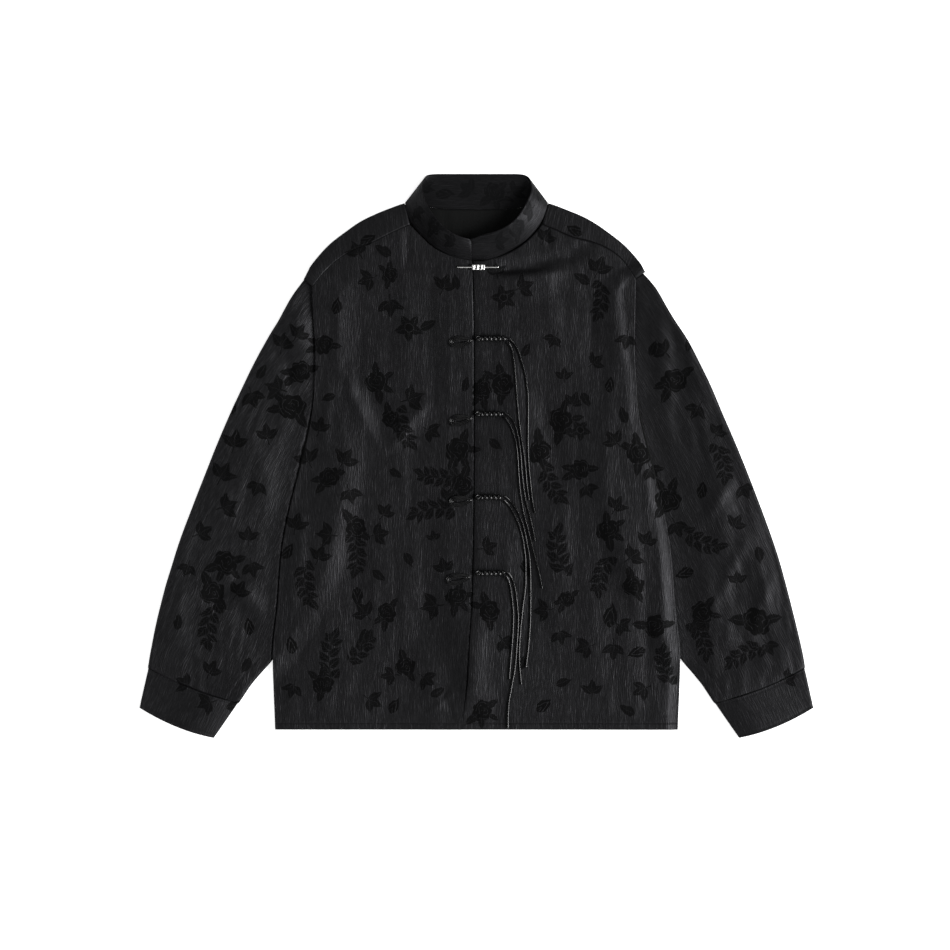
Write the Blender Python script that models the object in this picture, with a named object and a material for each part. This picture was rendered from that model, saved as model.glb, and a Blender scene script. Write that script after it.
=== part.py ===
"""Stand-collar shirt jacket in black satin jacquard, laid flat with its front up.

The panels lie on each other: the sleeves' inner edges at the bottom, the back over them, then the two fronts, the
left one running under the right one at the placket. +Z is up, +Y runs towards the collar, and the wearer's right
side is at -X. The origin is on the floor at the middle of the garment's outline.

Every size and table below is in millimetres. Meshes are made in metres. "out" is a distance from the centre line,
"up" a place along Y.
"""
import math
from collections import namedtuple

import bmesh
import bpy
import numpy as np
from mathutils import Vector
from mathutils.bvhtree import BVHTree

METRES = 0.001

# Driving dimensions
WALL = 1.2            # cloth with its interfacing
CUFF_WALL = 1.4
SEAM_GAP = 0.4        # between two panels' edges at a seam
LAYER_GAP = 0.6       # between two panels that lie on each other
REST_GAP = 0.3        # between a trim and the cloth it lies on
HEM = -352.8          # hem edge
BACK_NECK = 318.7     # back neckline at the centre
COLLAR_BACK = 365.0   # rim of the collar at the centre back
SLEEVE_HEIGHT = 3.0   # flattened sleeve, both walls, where the body lies on it
LIFT = 3.8            # how far the body is raised over a sleeve
LIFT_RUN = 34.0       # over how much width it climbs
AIR = 3.0             # looseness of the fronts over the back
EDGE_AIR = 0.3        # what is left of it at the body's edges
SIDE_FADE, HEM_FADE, SHOULDER_FADE = 70.0, 55.0, 42.0   # widths over which it dies away
SLEEVE_AIR = 3.2      # looseness of a sleeve's upper wall
SLEEVE_CLEAR, SLEEVE_FADE = 7.0, 38.0   # where it starts outside the body's edge, and over what width it grows
UNDERLAP = 26.0       # how far the left front runs under the right one
PLACKET_RISE = 2.2    # how far the right front is raised over that
PLACKET_RUN = 30.0    # over how much width it climbs
PLACKET_DIP = 1.6     # how far the left front sinks there
DIP_START, DIP_RUN = 14.0, 24.0
CORD = 2.2            # waxed cord of the frogs

RIGHT, LEFT = -1, 1   # signs of X
NECK_COLUMNS = 6      # points along half the neckline
SHOULDER_COLUMNS = 9  # steps along a shoulder seam
BODY_ROWS = 22        # points up the body, hem to shoulder
ARMHOLE_ROWS = 5      # how many of them lie along the armhole

# Half-width of the body's side edge, hem to armhole corner, then along the armhole seam to the shoulder
Edge = namedtuple("Edge", "up out")
BODY_EDGE = {
    RIGHT: [Edge(HEM, 260.0), Edge(-259.0, 263.0), Edge(-192.0, 256.5), Edge(-124.0, 251.0), Edge(-20.0, 230.0),
            Edge(73.0, 208.7), Edge(101.0, 203.0), Edge(176.0, 189.0), Edge(188.0, 195.4), Edge(205.8, 203.4),
            Edge(220.0, 212.7), Edge(226.4, 221.9)],
    LEFT: [Edge(HEM, 260.0), Edge(-259.0, 263.0), Edge(-192.0, 256.5), Edge(-124.0, 251.0), Edge(-20.0, 230.0),
           Edge(73.0, 209.0), Edge(98.7, 207.0), Edge(141.0, 199.0), Edge(176.0, 195.5), Edge(212.0, 191.6),
           Edge(229.0, 206.3), Edge(236.1, 216.6)],
}
SHOULDER_CORNER = {side: edges[-1] for side, edges in BODY_EDGE.items()}

# Outer fold of the shoulder, neck point to armhole
Fold = namedtuple("Fold", "out up")
NECK_POINT = Fold(92.5, 325.7)
SHOULDER_FOLD = [Fold(0.0, 345.0), NECK_POINT, Fold(112.0, 319.0), Fold(146.0, 304.0), Fold(170.0, 288.0),
                 Fold(189.0, 273.0), Fold(204.0, 257.0), Fold(215.0, 242.0), Fold(221.9, 229.0), Fold(228.0, 218.0)]

# Front neckline from the centre to the forward shoulder seam, then that seam out to the armhole
FRONT_TOP = {
    RIGHT: [Fold(0.0, 251.4), Fold(7.9, 251.6), Fold(34.6, 258.1), Fold(55.3, 268.4), Fold(74.6, 286.3),
            Fold(86.0, 299.5), Fold(111.6, 287.7), Fold(130.9, 278.0), Fold(161.9, 265.1), Fold(180.0, 253.5),
            Fold(196.7, 238.0), Fold(211.5, 219.5)],
    LEFT: [Fold(0.0, 251.4), Fold(7.9, 251.6), Fold(33.5, 258.5), Fold(54.0, 268.7), Fold(72.6, 284.0),
           Fold(85.0, 300.5), Fold(101.3, 293.5), Fold(125.8, 283.2), Fold(147.1, 278.0), Fold(164.5, 271.5),
           Fold(182.5, 259.9), Fold(194.1, 247.0), Fold(205.5, 229.5)],
}
SEAM_START = {RIGHT: 5, LEFT: 5}   # row of FRONT_TOP where the neckline meets the forward shoulder seam

# The right front's free edge
Placket = namedtuple("Placket", "up x")
PLACKET = [Placket(HEM, -20.0), Placket(-340.0, -18.8), Placket(-290.0, -13.2), Placket(-240.0, -10.6),
           Placket(-185.0, -7.1), Placket(-56.0, -4.5), Placket(150.0, -4.0), Placket(252.0, -6.0)]

# Sleeve: outer and inner edges from the armhole to the cuff seam, and the inner edge under the body by height
SLEEVE_OUTER = [Fold(214.0, 236.0), Fold(221.0, 228.0), Fold(233.5, 211.0), Fold(251.6, 180.0), Fold(269.6, 149.0),
                Fold(285.7, 118.0), Fold(300.6, 87.0), Fold(314.8, 56.0), Fold(341.0, -6.0), Fold(365.0, -68.0),
                Fold(387.0, -130.0), Fold(404.0, -192.0), Fold(418.0, -253.5), Fold(421.5, -274.0)]
SLEEVE_INNER = [Fold(178.0, -30.0), Fold(184.0, -80.0), Fold(203.0, -140.0), Fold(229.0, -200.0),
                Fold(263.0, -258.0), Fold(297.0, -298.0), Fold(310.0, -317.5)]
ARMHOLE_END = [Fold(214.0, 236.0), Fold(200.0, 227.0), Fold(187.0, 211.0), Fold(184.0, 176.0), Fold(187.0, 101.0),
               Fold(182.0, 30.0), Fold(178.0, -30.0)]
SLEEVE_REACH = [Edge(-363.0, 341.0), Edge(-298.0, 294.0), Edge(-258.0, 259.0), Edge(-200.0, 225.0),
                Edge(-140.0, 199.0), Edge(-80.0, 181.0), Edge(-30.0, 175.0), Edge(30.0, 177.0), Edge(101.0, 182.0),
                Edge(176.0, 180.0), Edge(211.0, 182.0), Edge(227.0, 194.0), Edge(237.0, 208.0), Edge(262.0, 250.0)]
CUFF_OUTER = [Fold(421.7, -275.0), Fold(433.0, -325.6)]
CUFF_INNER = [Fold(310.8, -318.6), Fold(341.6, -362.8)]
CUFF_BOW = 4.0        # how far the cuff's edges bow out between their ends
BOW_WAY = (0.35, -1.0)
CUFF_HEIGHT = 5.0
TUBE_COLUMNS = 9
SLEEVE_SECTIONS = 20
ARMHOLE_FADE = 0.35   # share of the sleeve over which its sections straighten

# Collar band: its seam and its rim from the right front end, round the back, to the left front end
Band = namedtuple("Band", "seam_x seam_y seam_z rim_x rim_y rim_z")
COLLAR_STATIONS = [
    Band(-6.5, 253.0, 8.2, -6.5, 279.5, 20.5),
    Band(-20.0, 254.8, 8.0, -21.0, 283.2, 23.5),
    Band(-34.6, 259.6, 7.4, -33.0, 288.6, 25.0),
    Band(-54.0, 270.4, 6.6, -45.5, 298.6, 25.0),
    Band(-72.4, 287.6, 5.6, -58.0, 314.5, 23.0),
    Band(-84.4, 303.0, 4.8, -66.6, 331.0, 19.0),
    Band(-90.0, 319.0, 3.9, -69.5, 346.5, 13.0),
    Band(-91.9, 327.2, 2.3, -67.0, 359.0, 6.0),
    Band(-88.0, 328.0, 0.8, -60.0, 364.2, 1.6),
    Band(-78.0, 324.6, 0.6, -50.0, 365.0, 0.7),
    Band(-56.0, 321.0, 0.6, -38.0, COLLAR_BACK, 0.6),
    Band(-28.0, 319.4, 0.6, -18.0, COLLAR_BACK, 0.6),
    Band(0.0, 319.1, 0.6, 0.0, COLLAR_BACK, 0.6),
    Band(28.0, 319.4, 0.6, 18.0, COLLAR_BACK, 0.6),
    Band(56.0, 321.0, 0.6, 38.0, COLLAR_BACK, 0.6),
    Band(78.0, 324.6, 0.6, 50.0, 365.0, 0.7),
    Band(88.0, 328.0, 0.8, 60.0, 364.2, 1.6),
    Band(91.9, 327.2, 2.3, 68.5, 358.0, 6.0),
    Band(90.0, 319.0, 3.9, 71.0, 345.0, 13.0),
    Band(84.0, 304.0, 4.8, 66.0, 330.5, 19.0),
    Band(70.4, 285.6, 5.6, 55.5, 312.0, 23.0),
    Band(52.0, 271.0, 5.8, 42.5, 299.0, 24.0),
    Band(33.0, 260.6, 5.4, 25.0, 290.0, 22.5),
    Band(12.0, 254.0, 4.6, 9.0, 285.6, 19.5),
    Band(-6.0, 253.6, 4.0, -7.0, 280.4, 16.5),
    Band(-22.0, 256.6, 3.9, -22.0, 279.0, 15.0),
]
COLLAR_BULGE = 2.5    # outward swell of the band half way up
COLLAR_CORNER = 7.0   # radius that rounds the band's two upper corners
COLLAR_RUN = 560.0    # length of the band
COLLAR_COLUMNS, COLLAR_ROWS = 47, 6
FLAT_RIM, STANDING_RIM = 2.0, 14.0   # heights of the rim where the band lies flat and where it stands up

# Folds of the cloth: a soft ridge (or, where rise is negative, a trough) from one place to another
Crease = namedtuple("Crease", "from_x from_y to_x to_y width rise")
FRONT_CREASES = [
    Crease(24.0, 240.0, 108.0, 254.0, 9.0, -2.0),
    Crease(30.0, 224.0, 112.0, 236.0, 13.0, 2.2),
    Crease(112.0, 256.0, 158.0, 282.0, 10.0, -1.6),
    Crease(-176.0, 112.0, -127.0, 6.0, 15.0, 2.2),
    Crease(-60.0, 73.0, -122.0, 8.0, 14.0, 1.8),
    Crease(-150.0, 40.0, -110.0, 60.0, 26.0, -1.6),
    Crease(196.0, 150.0, 206.0, -30.0, 9.0, 1.8),
    Crease(176.0, 120.0, 188.0, -60.0, 14.0, -1.5),
    Crease(150.0, 60.0, 170.0, -140.0, 16.0, 1.4),
    Crease(-34.0, -252.0, -32.0, -316.0, 15.0, -2.8),
    Crease(-66.0, -240.0, -60.0, -330.0, 14.0, 2.0),
    Crease(-110.0, -334.0, -40.0, -340.0, 9.0, 1.6),
    Crease(-95.0, 230.0, -80.0, 110.0, 14.0, 1.6),
    Crease(96.0, -60.0, 120.0, -250.0, 20.0, 1.4),
    Crease(-200.0, -80.0, -190.0, -260.0, 22.0, 1.4),
]
SLEEVE_CREASES = [
    Crease(-328.0, -152.0, -262.0, -204.0, 12.0, 3.6),
    Crease(-318.0, -186.0, -268.0, -250.0, 15.0, -2.4),
    Crease(-240.0, 190.0, -212.0, 120.0, 11.0, 2.6),
    Crease(-262.0, 150.0, -226.0, 70.0, 12.0, -1.8),
    Crease(-300.0, 60.0, -262.0, -70.0, 17.0, 2.0),
    Crease(236.0, 190.0, 236.0, 90.0, 12.0, 2.4),
    Crease(262.0, 120.0, 262.0, 10.0, 14.0, -1.8),
    Crease(300.0, 40.0, 318.0, -120.0, 18.0, 2.0),
    Crease(352.0, -60.0, 372.0, -210.0, 14.0, 1.8),
    Crease(290.0, -140.0, 330.0, -260.0, 15.0, 2.2),
]

# Frogs, counted from the neck: the loop's and the stem's centre heights and the stem's far end
Frog = namedtuple("Frog", "loop_x loop_y nose_x nose_y stem_y stem_end")
FROGS = [
    Frog(-35.5, 146.4, -5.5, 149.4, 152.2, 39.3),
    Frog(-35.5, 43.9, -5.5, 49.4, 54.8, 33.8),
    Frog(-35.5, -59.3, -5.5, -56.0, -52.6, 32.5),
    Frog(-39.3, -160.6, -8.0, -155.2, -150.5, 36.2),
]
LOOP_WIDTH = 15.0
LOOP_CORD = 3.6       # two waxed cords side by side
LOOP_POINTS = 18
LOOP_TAPER = 0.34     # how much fuller its round end is than its neck
KNOT_RADIUS = 4.2
KNOT_X = 2.2          # centre of each knot
STEM_WIDE, STEM_FLAT = 7.4, 4.6
STEM_TWIST = 2.5      # turns of the pair of cords along the stem

# Loose cord ends of the frogs: their routes from the stem, x and y
TAILS = {
    "tail_1_inner": [(41.4, 148.6), (46.1, 136.8), (49.0, 118.0), (52.2, 77.4), (56.4, 34.2), (60.8, 5.8),
                     (63.4, -16.1), (64.9, -35.5), (68.0, -57.4)],
    "tail_1_outer": [(41.9, 153.6), (49.8, 144.3), (57.4, 125.8), (64.6, 96.1), (66.7, 71.6), (66.4, 16.1),
                     (67.9, -16.1), (69.9, -35.5), (72.9, -62.6), (75.5, -73.5)],
    "tail_2_inner": [(35.8, 52.4), (41.0, 44.4), (47.1, 31.4), (52.2, 9.7), (54.2, -17.4), (55.4, -35.5),
                     (60.2, -69.0), (66.4, -93.5), (72.9, -119.8), (79.3, -143.3), (85.0, -170.9)],
    "tail_2_outer": [(36.6, 57.2), (44.5, 50.2), (51.3, 36.1), (56.6, 5.8), (59.0, -23.9), (63.1, -54.4),
                     (69.5, -79.3), (75.8, -109.0)],
    "tail_3_inner": [(34.6, -54.8), (41.3, -62.4), (49.7, -76.8), (56.8, -94.8), (61.3, -116.1), (63.3, -134.8),
                     (63.5, -159.3), (59.7, -196.3), (56.0, -234.1), (55.1, -258.6), (57.3, -289.6), (57.9, -294.8)],
    "tail_3_outer": [(35.2, -50.2), (42.9, -56.4), (52.4, -69.7), (60.4, -89.7), (65.6, -114.2), (69.0, -136.1),
                     (69.8, -165.8), (69.5, -209.6), (67.6, -239.3), (63.9, -272.8)],
    "tail_4_inner": [(38.3, -152.8), (41.6, -160.0), (44.2, -172.2), (46.6, -190.3), (47.6, -207.0),
                     (47.0, -226.4), (44.9, -253.0), (42.2, -288.3)],
    "tail_4_outer": [(38.9, -148.0), (44.4, -154.2), (49.1, -167.1), (52.5, -190.3), (53.9, -209.6),
                     (52.2, -240.6), (49.9, -271.5), (45.5, -296.1), (41.5, -320.6), (40.6, -339.9), (40.6, -350.9)],
}
TAIL_DROP = 12.0      # length over which a tail comes down from the stem to the cloth
TAIL_POINTS = 15

# Bar pin at the neck
PIN_Y = 244.0
PIN_FROM, PIN_TO = -24.9, 29.0
PIN_RADIUS = 1.0
BLOCK_X, BLOCK_LENGTH, BLOCK_WIDE, BLOCK_HIGH = 2.6, 16.5, 8.4, 5.6
BLOCK_BORE = 1.4
BLOCK_RIDGES = 3
GROOVE = 0.12         # depth of the grooves between the ridges, as a share of the block
BLOCK_FULL = 0.9      # how much of its box the rounded section fills

Material = namedtuple("Material", "name colour roughness metallic")
SATIN = Material("satin_jacquard", (0.017, 0.017, 0.018), 0.42, 0.0)
WAXED = Material("waxed_cord", (0.010, 0.010, 0.011), 0.30, 0.0)
SILVER = Material("silver", (0.80, 0.80, 0.78), 0.22, 1.0)


def graph(rows, x):
    """Smooth curve through rows of (place, value), read at x, and level beyond the first and last rows."""
    knots, values = np.array([tuple(row)[:2] for row in rows], float).T
    step = np.diff(knots)
    rise = np.diff(values) / step
    slope = np.concatenate([rise[:1], np.zeros(len(knots) - 2), rise[-1:]])
    steady = rise[1:] * rise[:-1] > 0
    slope[1:-1][steady] = 2 * rise[1:][steady] * rise[:-1][steady] / (rise[1:] + rise[:-1])[steady]
    x = np.clip(np.asarray(x, float), knots[0], knots[-1])
    k = np.clip(np.searchsorted(knots, x, "right") - 1, 0, len(step) - 1)
    t = (x - knots[k]) / step[k]
    return ((1 + 2 * t) * (1 - t) ** 2 * values[k] + t * (1 - t) ** 2 * step[k] * slope[k]
            + t * t * (3 - 2 * t) * values[k + 1] + t * t * (t - 1) * step[k] * slope[k + 1])


def along(points, share):
    """Point at a share of the length of the smooth line through points, one column for each coordinate."""
    points = np.array([tuple(point) for point in points], float)
    run = np.concatenate([[0.0], np.cumsum(np.linalg.norm(np.diff(points, axis=0), axis=1))])
    at = np.asarray(share, float) * run[-1]
    return np.stack([graph(np.stack([run, column], 1), at) for column in points.T], -1)


def ease(t):
    """Smooth step from 0 to 1."""
    t = np.clip(t, 0.0, 1.0)
    return t * t * (3 - 2 * t)


def creases(rows, x, y):
    """Height that a table's folds add at x, y: each a soft ridge that fades towards its two ends."""
    total = np.zeros(np.broadcast(x, y).shape)
    for row in rows:
        run_x, run_y = row.to_x - row.from_x, row.to_y - row.from_y
        length = math.hypot(run_x, run_y)
        along_it = ((x - row.from_x) * run_x + (y - row.from_y) * run_y) / length
        beside = ((x - row.from_x) * run_y - (y - row.from_y) * run_x) / length
        fade = ease(along_it / length * 2.5 + 0.3) * ease((1 - along_it / length) * 2.5 + 0.3)
        total = total + row.rise * fade * np.exp(-(beside / row.width) ** 2)
    return total


def body_edge(x, y):
    """Half-width of the body at height y on the side of x."""
    return np.where(x < 0, graph(BODY_EDGE[RIGHT], y), graph(BODY_EDGE[LEFT], y))


def lift(x, y):
    """How far the body is raised over the sleeve that is tucked beneath it."""
    return LIFT * ease((np.abs(x) - graph(SLEEVE_REACH, y)) / LIFT_RUN + 1.0)


def front_height(x, y):
    """Height of the middle of the fronts' cloth, and of the back's where it folds over the shoulder."""
    at_side = ease((body_edge(x, y) - np.abs(x)) / SIDE_FADE)
    at_hem = ease((y - HEM) / HEM_FADE)
    at_shoulder = ease((graph(SHOULDER_FOLD, np.abs(x)) - y) / SHOULDER_FADE)
    loose = at_side * at_hem * at_shoulder
    air = np.maximum(0.0, loose * (AIR + creases(FRONT_CREASES, x, y)) + EDGE_AIR)
    return lowest_front(x, y) + air


def lowest_front(x, y):
    """Height of the middle of a front that lies close on the back."""
    return lift(x, y) + 1.5 * WALL + LAYER_GAP


def right_front_height(x, y):
    """The right front, raised where the left one runs under it."""
    inside = graph(PLACKET, y) - x
    return front_height(x, y) + PLACKET_RISE * ease((UNDERLAP + PLACKET_RUN + 4.0 - inside) / PLACKET_RUN)


def left_front_height(x, y):
    """The left front, which dips towards its free edge."""
    inside = x - graph(PLACKET, y)
    dip = PLACKET_DIP * ease((DIP_START - inside) / DIP_RUN) * ease((y - HEM) / HEM_FADE)
    return np.maximum(front_height(x, y) - dip, lowest_front(x, y))


def sleeve_height(x, y):
    """Height of the middle of a sleeve's upper wall: flattened under the body, looser outside it."""
    clear = ease((np.abs(x) - body_edge(x, y) - SLEEVE_CLEAR) / SLEEVE_FADE)
    flat = SLEEVE_HEIGHT - WALL / 2
    return flat + clear * np.maximum(0.0, SLEEVE_AIR + creases(SLEEVE_CREASES, x, y))


def new_object(name, mesh_or_curve, finish):
    """Link an object of that name with its own material."""
    material = bpy.data.materials.new(f"{finish.name}_{name}")
    material.use_nodes = True
    shader = material.node_tree.nodes["Principled BSDF"]
    shader.inputs["Base Color"].default_value = (*finish.colour, 1.0)
    shader.inputs["Roughness"].default_value = finish.roughness
    shader.inputs["Metallic"].default_value = finish.metallic
    mesh_or_curve.materials.append(material)
    obj = bpy.data.objects.new(name, mesh_or_curve)
    bpy.context.collection.objects.link(obj)
    return obj


def mesh_from(name, points, faces):
    """Mesh in metres from points in millimetres."""
    mesh = bpy.data.meshes.new(name)
    mesh.from_pydata([Vector(point) * METRES for point in points], [], faces)
    mesh.update()
    return mesh


def make_cloth(name, points, faces, wall=WALL):
    """Cloth of one wall's thickness about the middle surface given, wound with its faces up or out."""
    mesh = mesh_from(name, points, faces)
    mesh.shade_smooth()
    obj = new_object(name, mesh, SATIN)
    solid = obj.modifiers.new("wall", "SOLIDIFY")
    solid.thickness = wall * METRES
    solid.offset = 0.0
    return obj


def grid_faces(columns, rows):
    """Quads of a grid whose point (column, row) has the index column * rows + row."""
    return [(c * rows + r, (c + 1) * rows + r, (c + 1) * rows + r + 1, c * rows + r + 1)
            for c in range(columns - 1) for r in range(rows - 1)]


def shares(count, bias=0.0):
    """Even shares from 0 to 1, drawn towards the two ends by the bias."""
    t = np.linspace(0.0, 1.0, count)
    return t - bias * np.sin(2 * math.pi * t) / (2 * math.pi)


def back_top(out, side):
    """Upper edge of the back at a distance from the centre: the neckline, then the shoulder fold."""
    neckline = BACK_NECK + (NECK_POINT.up - BACK_NECK) * (out / NECK_POINT.out) ** 3
    corner = SHOULDER_CORNER[side]
    fold = graph(SHOULDER_FOLD, out)
    fold = np.where(out > corner.out - 6.0, np.minimum(fold, corner.up + (corner.out - out) * 2.0 + 1.0), fold)
    return np.where(out <= NECK_POINT.out, neckline, fold)


def row_shares(side, top_up):
    """Shares of the body's height that the panels' rows take, close together along the armhole."""
    armpit = min(BODY_EDGE[side], key=lambda edge: edge.out).up
    ups = np.concatenate([np.linspace(HEM, armpit, BODY_ROWS - ARMHOLE_ROWS),
                          np.linspace(armpit, top_up, ARMHOLE_ROWS + 1)[1:]])
    return (ups - HEM) / (top_up - HEM)


def make_back():
    """Back panel: flat on the floor, over the sleeves' edges at the sides, and folded over at the shoulders."""
    rows = BODY_ROWS
    outs = {}
    for side in (RIGHT, LEFT):
        wide = SHOULDER_CORNER[side].out
        outs[side] = np.concatenate([np.linspace(0, NECK_POINT.out, NECK_COLUMNS),
                                     NECK_POINT.out + (wide - NECK_POINT.out) * seam_shares(side)[1:]])
    points, index, faces = [], {}, []
    count = NECK_COLUMNS - 1 + SHOULDER_COLUMNS

    def add(key, point):
        index[key] = len(points)
        points.append(point)

    for column in range(-count, count + 1):
        side = RIGHT if column < 0 else LEFT
        out = outs[side][abs(column)]
        share = out / SHOULDER_CORNER[side].out
        top = float(back_top(out, side))
        side_top = SHOULDER_CORNER[side].up
        for row, v in enumerate(row_shares(side, side_top)):
            side_up = HEM + (side_top - HEM) * v
            x = side * share * float(graph(BODY_EDGE[side], side_up))
            y = HEM + (top - HEM) * v
            add((column, row), (x, y, float(lift(x, y)) + WALL / 2))
        if abs(column) < NECK_COLUMNS - 1:
            continue
        t = (out - NECK_POINT.out) / (SHOULDER_CORNER[side].out - NECK_POINT.out)
        seam_x, seam_y = along(FRONT_TOP[side][SEAM_START[side]:], t)
        seam_x, fold_x, fold_y = side * seam_x, side * out, top
        away = Vector((seam_x - fold_x, seam_y - fold_y)).normalized()
        low = float(lift(fold_x, fold_y)) + WALL / 2
        high = float(front_height(fold_x, fold_y))
        radius = (high - low) / 2
        add((column, rows), (fold_x - away.x * radius, fold_y - away.y * radius, (low + high) / 2))
        strip = Vector((seam_x - fold_x, seam_y - fold_y)).length - SEAM_GAP / 2
        for row, v in enumerate((0.0, 0.3, 0.65, 1.0), rows + 1):
            x, y = fold_x + away.x * strip * v, fold_y + away.y * strip * v
            add((column, row), (x, y, float(front_height(x, y))))

    for column in range(-count, count):
        for row in range(rows + 4):
            corners = [(column, row), (column + 1, row), (column + 1, row + 1), (column, row + 1)]
            if all(corner in index for corner in corners):
                faces.append([index[corner] for corner in corners])
    return make_cloth("back", points, faces)


def seam_shares(side):
    """Shares along the forward shoulder seam that both panels' points there take."""
    wide = SHOULDER_CORNER[side].out
    outs = NECK_POINT.out + (wide - NECK_POINT.out) * shares(SHOULDER_COLUMNS + 1, 0.5)
    return (outs - NECK_POINT.out) / (wide - NECK_POINT.out)


def front_top(side, inner_x):
    """Upper edge of a front: its neckline from the free edge, then the forward shoulder seam."""
    start = SEAM_START[side]
    neckline = [tuple(place) for place in FRONT_TOP[side][1:start + 1]]
    points = [(side * out, up) for out, up in along(neckline, np.linspace(0, 1, NECK_COLUMNS))]
    seam = [(side * out, up) for out, up in along(FRONT_TOP[side][start:], seam_shares(side)[1:])]
    first = (inner_x, float(graph(FRONT_TOP[side], abs(inner_x))))
    under = [(x, float(graph(FRONT_TOP[side], abs(x)))) for x in (-20.0, -8.0)]
    return [first] + under + points + seam if side == LEFT else [first] + points[1:] + seam


def make_front(name, side, height, inner_edge):
    """One front: from its free edge to the body's side, and from the hem to the neckline and shoulder seam."""
    corner = FRONT_TOP[side][-1]
    top_edge = front_top(side, inner_edge(FRONT_TOP[side][0].up))
    inner_top = top_edge[0]
    points = []
    for top_x, top_y in top_edge:
        u = (top_x - inner_top[0]) / (side * corner.out - inner_top[0])
        top = top_y - SEAM_GAP
        for v in row_shares(side, corner.up):
            edge = side * float(graph(BODY_EDGE[side], HEM + (corner.up - HEM) * v))
            inner = inner_edge(HEM + (inner_top[1] - HEM) * v)
            x = inner + (edge - inner) * u + (top_x - inner - (edge - inner) * u) * float(ease((v - 0.5) * 2))
            y = HEM + (top - HEM) * v
            points.append((x, y, float(height(x, y))))
    faces = grid_faces(len(top_edge), BODY_ROWS)
    if side == RIGHT:
        faces = [face[::-1] for face in faces]
    return make_cloth(name, points, faces)


def placket_edge(y):
    """The right front's free edge, x at a height."""
    return float(graph(PLACKET, y))


def underlap_edge(y):
    """The left front's free edge, hidden under the right front."""
    return placket_edge(y) - UNDERLAP


def ring_across(upper, height, low):
    """Section of a flattened tube: its upper wall from the outer to the inner edge, then back along the floor."""
    ring = [(x, y, float(height(x, y))) for x, y in upper]
    for edge, before in ((upper[-1], upper[-2]), (upper[0], upper[1])):
        outward = (edge - before) / np.linalg.norm(edge - before)
        top = float(height(*edge))
        x, y = edge + outward * (top - low) / 2
        ring.append((x, y, (top + low) / 2))
        if len(ring) == len(upper) + 1:
            ring.extend((x, y, low) for x, y in upper[::-1])
    return ring


def make_tube(name, side, sections, height, wall=WALL):
    """Flattened tube, open at both ends, through sections whose places run from its outer to its inner edge."""
    points = []
    for section in sections:
        points.extend(ring_across(section * (side, 1), height, wall / 2))
    ring_size = 2 * len(sections[0]) + 2
    faces = []
    for s in range(len(sections) - 1):
        for k in range(ring_size):
            a, b = s * ring_size + k, s * ring_size + (k + 1) % ring_size
            faces.append((a, b, b + ring_size, a + ring_size))
    if side == RIGHT:
        faces = [face[::-1] for face in faces]
    return make_cloth(name, points, faces, wall)


def straight_section(outer, inner, bow):
    """Places across a tube between two edges, bowed towards the hand in the middle."""
    across = shares(TUBE_COLUMNS, 0.5)[:, None]
    return outer + (inner - outer) * across + np.array(BOW_WAY) * bow * 4 * across * (1 - across)


def make_sleeve(name, side):
    """Sleeve from beneath the body's edge at the armhole to the cuff seam."""
    sections = []
    first = straight_section(along(SLEEVE_OUTER, 0.0), along(SLEEVE_INNER, 0.0), 0.0)
    to_armhole = along(ARMHOLE_END, shares(TUBE_COLUMNS, 0.5)) - first
    for s in shares(SLEEVE_SECTIONS):
        section = straight_section(along(SLEEVE_OUTER, s), along(SLEEVE_INNER, s), CUFF_BOW * float(ease(s * 3 - 2)))
        sections.append(section + to_armhole * float(ease(1 - s / ARMHOLE_FADE)))
    return make_tube(name, side, sections, sleeve_height)


def cuff_height(x, y):
    """Height of the middle of a cuff's upper wall."""
    return CUFF_HEIGHT - CUFF_WALL / 2 + 0.0 * x


def make_cuff(name, side):
    """Plain band round the sleeve's end."""
    sections = [straight_section(along(CUFF_OUTER, s), along(CUFF_INNER, s), CUFF_BOW) for s in shares(4)]
    return make_tube(name, side, sections, cuff_height, CUFF_WALL)


def make_collar():
    """Stand collar: one band whose back lies flat and whose front stands, its right end over its left end."""
    table = np.array(COLLAR_STATIONS)
    seam, rim = table[:, :3], table[:, 3:]
    points = []
    for s in np.linspace(0.0, 1.0, COLLAR_COLUMNS):
        low = along_stations(seam, s)
        high = along_stations(rim, s)
        length = np.linalg.norm(high - low)
        standing = float(ease((high[2] - FLAT_RIM) / (STANDING_RIM - FLAT_RIM)))
        swell = np.array([0.0, 0.0, 1.0]) * COLLAR_BULGE * standing
        end = min(s, 1 - s) * COLLAR_RUN
        corner = COLLAR_CORNER - math.sqrt(max(0.0, COLLAR_CORNER ** 2 - max(0.0, COLLAR_CORNER - end) ** 2))
        for t in np.linspace(0.0, 1.0, COLLAR_ROWS):
            reach = t * (1 - corner / length)
            points.append(low + (high - low) * reach + swell * 4 * t * (1 - t))
    return make_cloth("collar", points, [face[::-1] for face in grid_faces(COLLAR_COLUMNS, COLLAR_ROWS)])


def along_stations(line, share):
    """Point at an even share of the stations of a line, smooth through them all."""
    places = np.arange(len(line)) / (len(line) - 1)
    return np.array([float(graph(np.stack([places, column], 1), share)) for column in line.T])


class Surface:
    """Top of a panel's evaluated wall, which trims are laid on."""

    def __init__(self, *panels):
        self.trees = [BVHTree.FromObject(panel, bpy.context.evaluated_depsgraph_get()) for panel in panels]

    def top(self, x, y, reach=0.0):
        """Highest cloth at x, y, and within a reach of it."""
        offsets = [(0.0, 0.0)] + [(reach * math.cos(a), reach * math.sin(a))
                                  for a in np.linspace(0, 2 * math.pi, 8, endpoint=False)] * (reach > 0)
        heights = []
        for tree in self.trees:
            for dx, dy in offsets:
                start = Vector((x + dx, y + dy, 80.0)) * METRES
                hit = tree.ray_cast(start, Vector((0, 0, -1)))[0]
                if hit is not None:
                    heights.append(hit.z / METRES)
        return max(heights)


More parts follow.
